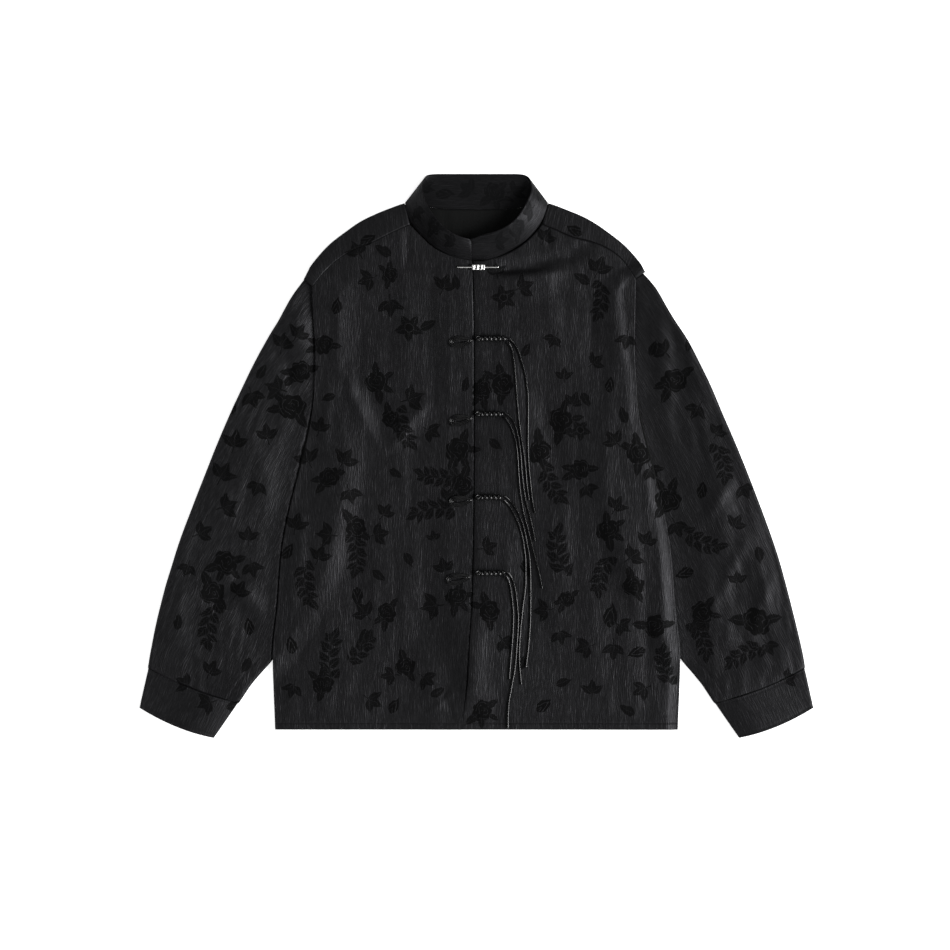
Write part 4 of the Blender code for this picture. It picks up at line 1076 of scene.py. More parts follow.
def figure_map(stamps: Sequence[Stamp], flat: Array, kinds: Sequence[Figure]) -> Array:
    """Lay one layer of woven figures on the faces of a piece.

    Args:
        stamps: the figures and their places.
        flat: places of the corners of each face on the flat cloth, (faces, 4, 2).
        kinds: the figures of this layer.

    Returns:
        For each corner the figure's number and place in its own frame, as the satin reads it.
    """
    rows = [stamp for stamp in stamps if stamp.figure in kinds]
    middles = flat.mean(1)
    best = np.full(len(flat), np.inf)
    laid = np.zeros(flat.shape)
    for number, row in enumerate(rows):
        reach = REACH[row.figure] * row.size
        distance = np.hypot(middles[:, 0] - row.x, middles[:, 1] - row.y) / reach
        nearer = (distance < 1.0) & (distance < best)
        if not nearer.any():
            continue
        best[nearer] = distance[nearer]
        turn = math.radians(row.turn)
        dx, dy = flat[nearer, :, 0] - row.x, flat[nearer, :, 1] - row.y
        u = (dx * math.cos(turn) + dy * math.sin(turn)) / row.size
        v = (dy * math.cos(turn) - dx * math.sin(turn)) / row.size
        mirrored = -1.0 if number % 2 else 1.0
        laid[nearer, :, 0] = u / SPAN + float(row.figure)
        laid[nearer, :, 1] = v * mirrored / SPAN + float(number % VARIATIONS)
    return laid


def build_mesh(name: str, points: Array, faces: Array, maps: dict[str, Array]) -> bpy.types.Object:
    """Make an object of quads or larger faces with its surface maps.

    Args:
        name: the object's name.
        points: its points in millimetres.
        faces: its faces, all with as many corners.
        maps: for each surface map, the place of every corner of every face.

    Returns:
        The object, linked and smooth.
    """
    mesh = bpy.data.meshes.new(name)
    count, corners = faces.shape
    mesh.vertices.add(len(points))
    mesh.vertices.foreach_set("co", (np.asarray(points, float) * METRES).ravel())
    mesh.loops.add(count * corners)
    mesh.loops.foreach_set("vertex_index", faces.ravel().astype(np.int32))
    mesh.polygons.add(count)
    mesh.polygons.foreach_set("loop_start", np.arange(0, count * corners, corners, dtype=np.int32))
    mesh.update(calc_edges=True)
    mesh.shade_smooth()
    for label, places in maps.items():
        mesh.uv_layers.new(name=label).data.foreach_set("uv", places.astype(np.float32).ravel())
    mesh.validate()
    obj = bpy.data.objects.new(name, mesh)
    bpy.context.scene.collection.objects.link(obj)
    return obj


def sharpen_rim(mesh: bpy.types.Mesh) -> None:
    """Shade a piece's face apart from its edge, where it is pressed to a sharp fold."""
    work = bmesh.new()
    work.from_mesh(mesh)
    for edge in work.edges:
        edge.smooth = not edge.is_boundary
    work.to_mesh(mesh)
    work.free()


@dataclass(kw_only=True)
class Cloth:
    """One cut piece of cloth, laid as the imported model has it."""

    node: str
    flat: tuple[float, float]
    area: float | None = None
    held: str = "laid"
    rests_on: tuple[str, ...] = ()
    wall: float = 1.0
    raised: float = 0.1
    reverse_up: bool = False
    faced: bool = False
    cut_edge: bool = False
    stamps: Sequence[Stamp] = tuple(Stamp(*row) for row in FIGURES)

    def weave(self) -> Weave:
        """Lay out the middle of the cloth."""
        raise NotImplementedError

    def figure_places(self, weave: Weave, corners: Array, places: Array) -> Array:
        """Flat places that the woven figures are laid out by: the garment's own, seen from above."""
        return weave.points.reshape(-1, 3)[corners][:, :, :2]

    def build(self, satin: bpy.types.Material, reverse: bpy.types.Material) -> bpy.types.Object:
        """Make the cloth with its wall, its surface maps and its materials.

        Args:
            satin: the right side of the cloth.
            reverse: the wrong side.

        Returns:
            The finished piece.
        """
        weave = self.weave()
        corners, places = weave.faces()
        flat = self.figure_places(weave, corners, places)
        maps = {"grain": weave.grain.reshape(-1, 2)[places] * METRES}
        for layer, kinds in LAYERS.items():
            maps[layer] = figure_map(with_leaves(self.stamps), flat, kinds)
        points = weave.points.reshape(-1, 3)
        if weave.present is not None:
            used = np.zeros(len(points), bool)
            used[corners.ravel()] = True
            points, corners = points[used], (np.cumsum(used) - 1)[corners]
        obj = build_mesh(f"{self.node}_cloth", points, corners, maps)
        sides = [reverse, satin] if self.reverse_up else [satin, satin if self.faced else reverse]
        for side in sides:
            obj.data.materials.append(side)
        if self.cut_edge:
            sharpen_rim(obj.data)
        solid = obj.modifiers.new("wall", "SOLIDIFY")
        solid.thickness, solid.offset = self.wall * METRES, 0.0
        solid.material_offset = 1
        solid.material_offset_rim = 0 if self.reverse_up else 1
        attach(obj, BODY)
        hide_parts(self.node)
        return obj


@dataclass(kw_only=True)
class Front(Cloth):
    """One front, from its free edge to the body's side and from the hem to the neckline and shoulder seam."""

    side: Side
    height: Height
    inner_edge: Callable[[float], float]
    neck_columns: int = 46
    seam_columns: int = 74
    rows: int = 280
    hem_rows: int = 22
    hem_share: float = 0.022
    under_collar: float = 1.5

    def top_edge(self) -> Array:
        """Trace the upper edge: the neckline from the free edge, then the forward shoulder seam."""
        table = FRONT_TOP[self.side]
        inner_x = self.inner_edge(table[0].up)
        start = table[1:SEAM_START + 1]
        neck = along(start, np.linspace(0, 1, self.neck_columns)) * (self.side, 1)
        neck[:, 1] += self.under_collar * ease((start[-1].out - np.abs(neck[:, 0])) / EDGE_FADE)
        if self.side == LEFT:
            # The columns stand closer where the right front's edge presses into the cloth
            beside = inner_x + UNDERLAP
            hidden = np.linspace(inner_x, beside - 7.0, 7)
            pressed = np.linspace(beside - 6.0, beside + 3.0, 16)
            shown = np.linspace(beside + 4.6, start[0].out, 4)[:-1]
            under_x = np.concatenate([hidden, pressed, shown])
        else:
            under_x = np.array([inner_x, inner_x - 0.3, (inner_x - start[0].out) / 2])
        under = np.stack([under_x, graph(table, np.abs(under_x)) + self.under_collar], 1)
        seam = along(table[SEAM_START:], np.linspace(0, 1, self.seam_columns)[1:]) * (self.side, 1)
        return np.concatenate([under, neck, seam])

    def weave(self) -> Weave:
        """Lay out the front."""
        corner = FRONT_TOP[self.side][-1]
        top = self.top_edge()
        v = np.concatenate([np.linspace(0, self.hem_share, self.hem_rows)[:-1],
                            np.linspace(self.hem_share, 1, self.rows - self.hem_rows + 1)])
        ups = HEM + (corner.up - HEM) * v
        edge = self.side * graph(BODY_EDGE[self.side], ups)
        inner = np.array([self.inner_edge(HEM + (top[0, 1] - HEM) * share) for share in v])
        u = ((top[:, 0] - top[0, 0]) / (self.side * corner.out - top[0, 0]))[:, None]
        plain = inner + (edge - inner) * u
        x = plain + (top[:, :1] - plain) * ease((v - 0.5) * 2)
        y = HEM + (top[:, 1:] - SEAM_GAP - HEM) * v
        points = np.stack([x, y, self.height(x, y) + self.raised], -1)
        return Weave(points, np.stack([x, y], -1), turned=self.side == RIGHT)


@dataclass(kw_only=True)
class Back(Cloth):
    """Back panel: flat on the floor, over the sleeves' edges, and folded over at the shoulders."""

    neck_columns: int = 30
    shoulder_columns: int = 52
    rows: int = 210
    fold_rows: int = 5
    strip_rows: int = 14
    slack: float = 0.3
    puff: float = 0.8

    def column(self, side: Side, out: float) -> tuple[Array, Array, bool]:
        """Lay out one line of the panel from the hem up.

        Args:
            side: which half of the back.
            out: where the line meets the upper edge.

        Returns:
            Its points, its places along the grain, and whether it goes on past the shoulder fold.
        """
        corner = SHOULDER_CORNER[side]
        neckline = float(graph(BACK_NECKLINE, out))
        fold = float(graph(SHOULDER_FOLD, out))
        if out > corner.out - 6.0:
            fold = min(fold, corner.up + (corner.out - out) * 2.0 + 1.0)
        top = neckline if out <= NECK_POINT.out else fold
        v = np.linspace(0, 1, self.rows)
        x = side * out / corner.out * graph(BODY_EDGE[side], HEM + (corner.up - HEM) * v)
        y = HEM + (top - HEM) * v
        free = ease((body_edge(x, y) - np.abs(x)) / 50.0) * ease((y - HEM) / 30.0)
        z = lift(x, y) + WALL / 2 + self.slack * free * (1 + ripple(x, y, 10.0, 50.0, 8.3))
        points = np.stack([x, y, z], -1)
        grain = np.stack([x, y], -1)
        on = out >= NECK_POINT.out - 1e-6
        t = max(0.0, (out - NECK_POINT.out) / (corner.out - NECK_POINT.out))
        seam = along(FRONT_TOP[side][SEAM_START:], t) * (side, 1)
        fold_at = np.array([side * out, top])
        run = float(np.linalg.norm(seam - fold_at))
        away = (seam - fold_at) / run
        low, high = float(z[-1]), float(front_height(*fold_at)) + self.raised
        angles = np.linspace(-math.pi / 2, math.pi / 2, self.fold_rows + 2)[1:-1]
        radius = (high - low) / 2
        bend = fold_at - away * radius * np.cos(angles)[:, None]
        bend = np.concatenate([bend, ((high + low) / 2 + radius * np.sin(angles))[:, None]], 1)
        share = np.linspace(0, 1, self.strip_rows)[:, None]
        strip = fold_at + away * (run - SEAM_GAP / 2) * share
        puffed = self.puff * np.sin(math.pi * share[:, 0]) * ease((run - 6.0) / 20.0)
        strip_z = front_height(strip[:, 0], strip[:, 1]) + self.raised + puffed
        tail = np.concatenate([bend, np.concatenate([strip, strip_z[:, None]], 1)])
        reach = top + np.linspace(0.5, run, len(tail))
        tail_grain = np.stack([np.full(len(tail), side * out), reach], 1)
        return np.concatenate([points, tail]), np.concatenate([grain, tail_grain]), on

    def weave(self) -> Weave:
        """Lay out the whole panel."""
        lines, grains, present = [], [], []
        for side in (RIGHT, LEFT):
            wide = SHOULDER_CORNER[side].out
            outs = np.concatenate([np.linspace(0, NECK_POINT.out, self.neck_columns),
                                   np.linspace(NECK_POINT.out, wide, self.shoulder_columns)[1:]])
            outs = outs[::-1] if side == RIGHT else outs[1:]
            for out in outs:
                points, grain, on = self.column(side, float(out))
                lines.append(points)
                grains.append(grain)
                kept = np.ones(len(points), bool)
                kept[self.rows:] = on
                present.append(kept)
        return Weave(np.stack(lines), np.stack(grains), present=np.stack(present))


@dataclass(kw_only=True)
class Tube(Cloth):
    """Flattened tube, open at both ends."""

    side: Side
    across: int = 70
    sections: int = 210
    fold_angle: float = 0.6
    fold_swell: float = 1.2

    def section(self, share: float) -> Array:
        """Places from the outer to the inner edge at a share of the length."""
        raise NotImplementedError

    def upper(self, x: Array, y: Array, beside: Array, down: float) -> Array:
        """Height of the middle of the upper wall."""
        raise NotImplementedError

    def straight(self, outer: Sequence[Place], inner: Sequence[Place], share: float, bow: float) -> Array:
        """Places across the tube between its two edges, bowed towards the hand."""
        t = np.linspace(0, 1, self.across)
        t = (t - 0.5 * np.sin(2 * math.pi * t) / (2 * math.pi))[:, None]
        start, end = along(outer, share), along(inner, share)
        return start + (end - start) * t + np.array(BOW_WAY) * bow * 4 * t * (1 - t)

    def weave(self) -> Weave:
        """Lay out the tube as rings: the upper wall, the inner fold, the wall below and the outer fold."""
        low = self.wall / 2
        rings, grains = [], []
        down = 0.0
        before = None
        for share in np.linspace(0, 1, self.sections):
            line = self.section(float(share)) * (self.side, 1)
            if before is not None:
                down += float(np.linalg.norm(line.mean(0) - before))
            before = line.mean(0)
            beside = np.concatenate([[0.0], np.cumsum(np.linalg.norm(np.diff(line, axis=0), axis=1))])
            top = self.upper(line[:, 0], line[:, 1], beside, down) + self.raised
            ring = [np.concatenate([line, top[:, None]], 1)]
            for edge, inside, height in ((line[-1], line[-2], top[-1]), (line[0], line[1], top[0])):
                outward = (edge - inside) / np.linalg.norm(edge - inside)
                radius = (height - low) / 2
                angles = np.array([1.0, 0.0, -1.0]) * self.fold_angle * (1 if len(ring) == 1 else -1)
                places = edge + outward * radius * np.cos(angles)[:, None]
                heights = (height + low) / 2 + radius * np.sin(angles) * self.fold_swell
                ring.append(np.concatenate([places, heights[:, None]], 1))
                if len(ring) == 2:
                    ring.append(np.concatenate([line[::-1], np.full((len(line), 1), low)], 1))
            ring = np.concatenate(ring)
            rings.append(ring)
            loop = np.concatenate([ring, ring[:1]])
            girth = np.concatenate([[0.0], np.cumsum(np.linalg.norm(np.diff(loop, axis=0), axis=1))])
            grains.append(np.stack([girth - girth[self.across] / 2, np.full(len(loop), down)], 1))
        return Weave(np.stack(rings), np.stack(grains), turned=self.side == LEFT)


@dataclass(kw_only=True)
class Sleeve(Tube):
    """Sleeve from beneath the body's edge at the armhole to the cuff seam."""

    seam_in: float = 13.0
    seam_depth: float = 0.5
    seam_width: float = 1.3

    def section(self, share: float) -> Array:
        """Places across the sleeve, which straighten away from the armhole."""
        line = self.straight(SLEEVE_OUTER, SLEEVE_INNER, share, CUFF_BOW * float(ease(share * 3 - 2)))
        t = np.linspace(0, 1, self.across)
        armhole = along(ARMHOLE_END, t - 0.5 * np.sin(2 * math.pi * t) / (2 * math.pi))
        first = self.straight(SLEEVE_OUTER, SLEEVE_INNER, 0.0, 0.0)
        return line + (armhole - first) * ease(1 - share / ARMHOLE_FADE)

    def upper(self, x: Array, y: Array, beside: Array, down: float) -> Array:
        """Height of the upper wall, with its seam near the inner edge and its wrinkles."""
        away = np.abs(x) - body_edge(x, y)
        clear = ease((away - SLEEVE_CLEAR) / SLEEVE_FADE)
        from_edge = beside[-1] - beside - self.seam_in
        seam = -self.seam_depth * np.exp(-(from_edge / self.seam_width) ** 2) * ease(clear * 3)
        loose = ripples(SLEEVE_RIPPLES, beside, np.full_like(beside, down), self.side)
        rows = creases(SLEEVE_WRINKLES, x, y)
        crowded = (self.side == RIGHT) * CROWDED * ease((away + CROWD_START) / CROWD_RISE)
        crowded = crowded * np.exp(-np.maximum(away - CROWD_FLAT, 0) / CROWD_FADE) * ease(down / CROWD_DOWN)
        return sleeve_height(x, y) + seam + clear * (loose + rows) + crowded


@dataclass(kw_only=True)
class Cuff(Tube):
    """Plain band round the sleeve's end."""

    stitched_at: tuple[float, float] = (3.5, 49.0)
    stitch_depth: float = 0.4
    dome: float = 4.2

    def section(self, share: float) -> Array:
        """Places across the cuff."""
        return self.straight(CUFF_OUTER, CUFF_INNER, share, CUFF_BOW)

    def upper(self, x: Array, y: Array, beside: Array, down: float) -> Array:
        """Height of the upper wall, with the stitching near both ends of the band."""
        near = sum(math.exp(-((down - at) / STITCH_WIDTH) ** 2) for at in self.stitched_at)
        soft = ripples(CUFF_RIPPLES, beside, np.full_like(beside, down), self.side)
        domed = self.dome * np.sin(math.pi * (beside / beside[-1]) ** 2)
        return CUFF_HEIGHT - CUFF_WALL / 2 - self.stitch_depth * near + soft + domed


@dataclass(kw_only=True)
class Collar(Cloth):
    """Stand collar: one band whose back lies flat and whose front stands, its right end over its left end."""

    columns: int = 380
    rows: int = 28
    waviness: float = 0.35
    rim_depth: float = 0.3
    rim_stitch: float = 4.0

    def weave(self) -> Weave:
        """Lay out the band from its seam to its rim."""
        table = np.array(COLLAR_STATIONS)
        stations = np.arange(len(table)) / (len(table) - 1)
        lines, grains = [], []
        run, before = 0.0, None
        for s in np.linspace(0, 1, self.columns):
            place = np.array([float(graph(np.stack([stations, column], 1), s)) for column in table.T])
            low, high = place[:3], place[3:]
            length = float(np.linalg.norm(high - low))
            standing = float(ease((high[2] - FLAT_RIM) / (STANDING_RIM - FLAT_RIM)))
            end = min(s, 1 - s) * COLLAR_RUN
            in_corner = max(0.0, COLLAR_CORNER - end)
            corner = COLLAR_CORNER - math.sqrt(max(0.0, COLLAR_CORNER ** 2 - in_corner ** 2))
            t = np.linspace(0, 1, self.rows)
            line = low + (high - low) * (t * (1 - corner / length))[:, None]
            line[:, 2] += COLLAR_BULGE * standing * 4 * t * (1 - t)
            middle = (low + high) / 2
            run += 0.0 if before is None else float(np.linalg.norm(middle - before))
            before = middle
            wavy = ripple(np.full(self.rows, run), t * length, 9.0, 60.0, 3.3)
            line[:, 2] += self.waviness * standing * wavy
            line[:, 2] -= self.rim_depth * np.exp(-(t * length - length + self.rim_stitch) ** 2) * standing
            lines.append(line)
            grains.append(np.stack([t * length, np.full(self.rows, run)], 1))
        return Weave(np.stack(lines), np.stack(grains), turned=True)

    def figure_places(self, weave: Weave, corners: Array, places: Array) -> Array:
        """Places along and up the band."""
        grain = weave.grain.reshape(-1, 2)[places]
        return grain[:, :, ::-1]


class Rest:
    """Top of the laid cloth, which the trims rest on."""

    def __init__(self, *panels: bpy.types.Object) -> None:
        """Take the panels with their walls."""
        finished = bpy.context.evaluated_depsgraph_get()
        self.trees = [BVHTree.FromObject(panel, finished) for panel in panels]

    def top(self, x: float, y: float, reach: float = 0.0) -> float:
        """Find the highest cloth at a place and around it.

        Args:
            x: place across the garment.
            y: place up the garment.
            reach: how far around the place counts too.

        Returns:
            The height in millimetres.
        """
        turns = np.linspace(0, 2 * math.pi, 6, endpoint=False)
        around = [(reach * math.cos(turn), reach * math.sin(turn)) for turn in turns]
        heights = []
        for tree in self.trees:
            for dx, dy in [(0.0, 0.0)] + (around if reach else []):
                hit = tree.ray_cast(Vector((x + dx, y + dy, 80.0)) * METRES, Vector((0, 0, -1)))[0]
                if hit is not None:
                    heights.append(hit.z / METRES)
        return max(heights)


def sweep(path: Array, radius: float, sides: int = 10, closed: bool = False) -> tuple[Array, Array, Array]:
    """Sweep a round cord along a path.

    Args:
        path: its centre line, in millimetres.
        radius: its radius.
        sides: corners of its section.
        closed: whether it is a ring. An open cord's ends are rounded.

    Returns:
        Points, quads, and for each corner the place along the cord and round it.
    """
    if not closed:
        run = np.concatenate([[0.0], np.cumsum(np.linalg.norm(np.diff(path, axis=0), axis=1))])
        cuts = radius * np.array([0.0, 0.12, 0.4, 0.75])
        inner = run[(run > radius) & (run < run[-1] - radius)]
        at = np.concatenate([cuts, [radius], inner, [run[-1] - radius], (run[-1] - cuts)[::-1]])
        path = np.stack([np.interp(at, run, column) for column in path.T], 1)
        near = np.minimum(at, run[-1] - at)
        scale = np.sqrt(np.clip(1 - (1 - np.minimum(near, radius) / radius) ** 2, 0.02, 1))
    else:
        scale = np.ones(len(path))
    count = len(path)
    ahead = np.roll(path, -1, 0) - np.roll(path, 1, 0)
    if not closed:
        ahead[0], ahead[-1] = path[1] - path[0], path[-1] - path[-2]
    ahead /= np.linalg.norm(ahead, axis=1)[:, None]
    out = np.cross(ahead, (0.0, 0.0, 1.0))
    level = np.linalg.norm(out, axis=1)
    out[level < 0.2] = np.cross(ahead[level < 0.2], (0.0, 1.0, 0.0))
    for k in range(1, count):
        out[k] = out[k - 1] - ahead[k] * (out[k - 1] @ ahead[k])
        out[k] /= np.linalg.norm(out[k])
    if not closed:
        out[0] /= np.linalg.norm(out[0])
    up = np.cross(out, ahead)
    angle = 2 * math.pi * np.arange(sides) / sides
    ring = out[:, None] * np.cos(angle)[:, None] + up[:, None] * np.sin(angle)[:, None]
    points = (path[:, None] + ring * (radius * scale)[:, None, None]).reshape(-1, 3)
    last = count if closed else count - 1
    k, n = np.meshgrid(np.arange(last), np.arange(sides), indexing="ij")
    k2, n2 = (k + 1) % count, (n + 1) % sides
    quads = np.stack([k * sides + n, k2 * sides + n, k2 * sides + n2, k * sides + n2], -1).reshape(-1, 4)
    steps = np.linalg.norm(np.diff(np.concatenate([path, path[:1]]), axis=0), axis=1)
    run = np.concatenate([[0.0], np.cumsum(steps)]) * METRES
    girth = np.stack([n, n, n + 1, n + 1], -1) / sides
    places = np.stack([np.stack([run[k], run[k + 1], run[k + 1], run[k]], -1), girth], -1).reshape(-1, 4, 2)
    if not closed:
        ends = [np.stack([np.full(sides - 2, 0), np.arange(1, sides - 1), np.arange(2, sides)], 1)]
        ends.append(ends[0][:, ::-1] + (count - 1) * sides)
        caps = np.concatenate(ends)
        caps = np.concatenate([caps, caps[:, 2:]], 1)
        quads, places = np.concatenate([quads, caps]), np.concatenate([places, np.zeros((len(caps), 4, 2))])
    return points, quads, places


def cord_object(name: str, parts: list[tuple[Array, Array, Array]],
                material: bpy.types.Material) -> bpy.types.Object:
    """Join swept cords into one object.

    Args:
        name: the object's name.
        parts: the cords, as sweep returns them.
        material: what they are dressed in.

    Returns:
        The object, with its normals outwards.
    """
    points, faces, places, offset = [], [], [], 0
    for part_points, part_faces, part_places in parts:
        points.append(part_points)
        faces.append(part_faces + offset)
        places.append(part_places)
        offset += len(part_points)
    mesh = bpy.data.meshes.new(name)
    everything = np.concatenate(faces)
    rows = [list(dict.fromkeys(face)) for face in everything.tolist()]
    mesh.from_pydata((np.concatenate(points) * METRES).tolist(), [], rows)
    layer = mesh.uv_layers.new(name="grain")
    round_faces = zip(rows, np.concatenate(places).tolist())
    corners = [corner for face, place in round_faces for corner in place[:len(face)]]
    layer.data.foreach_set("uv", np.array(corners, np.float32).ravel())
    work = bmesh.new()
    work.from_mesh(mesh)
    bmesh.ops.recalc_face_normals(work, faces=work.faces)
    work.to_mesh(mesh)
    work.free()
    mesh.shade_smooth()
    mesh.materials.append(material)
    obj = bpy.data.objects.new(name, mesh)
    bpy.context.scene.collection.objects.link(obj)
    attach(obj, BODY)
    return obj


@dataclass(frozen=True)
class FrogLoop:
    """Loop of a frog: nested rounds of waxed cord in the shape of a teardrop."""

    number: int
    frog: Frog
    strands: int = 4
    strand: float = 1.6
    steps: int = 64
    packed: float = 0.96
    clear: float = 1.1
    wave: float = 0.28
    stepped: float = 0.3

    def build(self, rest: Rest, material: bpy.types.Material) -> bpy.types.Object:
        """Lay the rounds side by side on the right front.

        Args:
            rest: the cloth beneath.
            material: the waxed cord.

        Returns:
            The loop.
        """
        frog = self.frog
        ends = np.array([[frog.loop_x, frog.loop_y], [frog.nose_x, frog.nose_y]])
        centre, half = ends.mean(0), (ends[1] - ends[0]) / 2
        reach = float(np.linalg.norm(half))
        long_way = half / reach
        cross = np.array([-long_way[1], long_way[0]])
        angle = np.linspace(0, 2 * math.pi, self.steps, endpoint=False)
        parts = []
        for round_in in range(self.strands):
            inset = (round_in + 0.5) * self.strand * self.packed
            taper = 1.0 - LOOP_TAPER * np.cos(angle)
            wide = (LOOP_WIDTH / 2 - inset) * np.sin(angle) * taper
            place = centre + np.outer((reach - inset) * np.cos(angle), long_way) + np.outer(wide, cross)
            lying = max(rest.top(x, y) for x, y in place[::4])
            wave = self.wave * np.sin(angle * 2 + round_in * 2.1)
            height = lying + self.clear + wave + self.stepped * (round_in % 2)
            parts.append(sweep(np.concatenate([place, height[:, None]], 1), self.strand / 2, 8, closed=True))
        loop = cord_object(f"frog_loop_{self.number}_cords", parts, material)
        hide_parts(f"frog_loop_{self.number}")
        return loop


@dataclass(frozen=True)
class FrogKnot:
    """Ball knot and the stem behind it, wound round with cord."""

    number: int
    frog: Frog
    weave_radius: float = 1.2
    lean: float = 52.0
    heart_radius: float = 2.5
    heart_reach: float = 2.6
    cord_radius: float = 2.1
    coil_radius: float = 2.1
    core_radius: float = 2.0
    pitch: float = 5.8
    raised: float = 0.6
    steps: int = 190

    def axis(self) -> float:
        """Height of the stem's middle."""
        low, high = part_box(f"frog_knot_{self.number}")
        return (low.z + high.z) / 2 / METRES

    def ball(self) -> list[tuple[Array, Array, Array]]:
        """Tie the knot: a cord woven three times round a core that fills it."""
        y, axis_z = self.frog.stem_y, self.axis()
        t = np.linspace(0, 2 * math.pi, 150, endpoint=False)
        lean, turn = math.radians(self.lean) * np.sin(3 * t), 2 * t
        out = KNOT_RADIUS - self.weave_radius * (0.98 + 0.22 * np.cos(6 * t))
        path = np.stack([KNOT_X + out * np.sin(lean), y + out * np.cos(lean) * np.cos(turn),
                         axis_z + out * np.cos(lean) * np.sin(turn)], 1)
        x = np.linspace(KNOT_X - self.heart_reach, KNOT_X + self.heart_reach, 12)
        heart = np.stack([x, np.full(12, y), np.full(12, axis_z)], 1)
        return [sweep(path, self.weave_radius, 8, closed=True), sweep(heart, self.heart_radius, 12)]

    def stem(self) -> list[tuple[Array, Array, Array]]:
        """Wind the cord round the stem's core, drawn in at both ends."""
        y, axis_z = self.frog.stem_y, self.axis() + self.raised
        start, end = KNOT_X + KNOT_RADIUS - 1.2, self.frog.stem_end
        run = np.linspace(0, 1, self.steps)
        angle = 2 * math.pi * (end - start) / self.pitch * run
        narrow = self.coil_radius * (0.55 + 0.45 * ease(run * 12)) * (1 - 0.3 * ease((run - 0.93) * 14))
        line = start + (end - start) * run
        coil = np.stack([line, y + narrow * np.cos(angle), axis_z + narrow * np.sin(angle)], 1)
        middle = np.stack([line, np.full_like(line, y), np.full_like(line, axis_z)], 1)
        return [sweep(coil, self.cord_radius, 10), sweep(middle[::10], self.core_radius, 10)]

    def build(self, material: bpy.types.Material) -> bpy.types.Object:
        """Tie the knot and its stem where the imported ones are.

        Args:
            material: the waxed cord.

        Returns:
            The knot with its stem.
        """
        knot = cord_object(f"frog_knot_{self.number}_cords", self.ball() + self.stem(), material)
        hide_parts(f"frog_knot_{self.number}")
        return knot


@dataclass(frozen=True)
class Tail:
    """Loose cord end of a frog, which lies on the left front."""

    name: str
    axis: float
    length: float
    points: int = 120
    clear: float = 0.05

    def build(self, rest: Rest, material: bpy.types.Material) -> bpy.types.Object:
        """Lay the cord from its stem down to the cloth and along it.

        Args:
            rest: the cloth beneath.
            material: the waxed cord.

        Returns:
            The cord.
        """
        share = np.linspace(0, 1, self.points)
        flat = along(TAILS[self.name], share)
        run = np.concatenate([[0.0], np.cumsum(np.linalg.norm(np.diff(flat, axis=0), axis=1))])
        lying = np.array([rest.top(x, y, CORD / 2) for x, y in flat])
        smooth = np.array([lying[max(0, k - 3):k + 4].max() for k in range(len(lying))])
        smooth = np.convolve(np.pad(smooth, 4, "edge"), np.ones(9) / 9, "valid") + CORD / 2 + self.clear
        down = ease(run / TAIL_DROP)
        path = np.concatenate([flat, (self.axis * (1 - down) + smooth * down)[:, None]], 1)
        cord = cord_object(f"{self.name}_cord", [sweep(path, CORD / 2, 10)], material)
        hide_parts(self.name)
        log.info("%s: %.1f mm", cord.name, float(np.linalg.norm(np.diff(path, axis=0), axis=1).sum()))
        return cord


@dataclass(frozen=True)
class Stitching:
    """Row of machine stitches that lies in the groove it has pressed into the cloth."""

    name: str
    line: Array
    pitch: float = 2.6
    stitch: tuple[float, float, float] = (0.14, 0.5, 0.86)
    rise: float = 0.16
    radius: float = 0.18

    def build(self, material: bpy.types.Material, rest: Rest) -> bpy.types.Object:
        """Lay the stitches along the line.

        Args:
            material: the thread.
            rest: the cloth beneath.

        Returns:
            All the stitches of the row as one object.
        """
        run = float(np.linalg.norm(np.diff(self.line, axis=0), axis=1).sum())
        count = int(run / self.pitch)
        parts = []
        for number in range(count):
            ends = along(self.line, np.array([number + share for share in self.stitch]) / count)
            heights = np.array([rest.top(x, y) for x, y in ends]) + np.array([0.0, self.rise, 0.0])
            parts.append(sweep(np.concatenate([ends, heights[:, None]], 1), self.radius, 5))
        row = cord_object(self.name, parts, material)
        return row


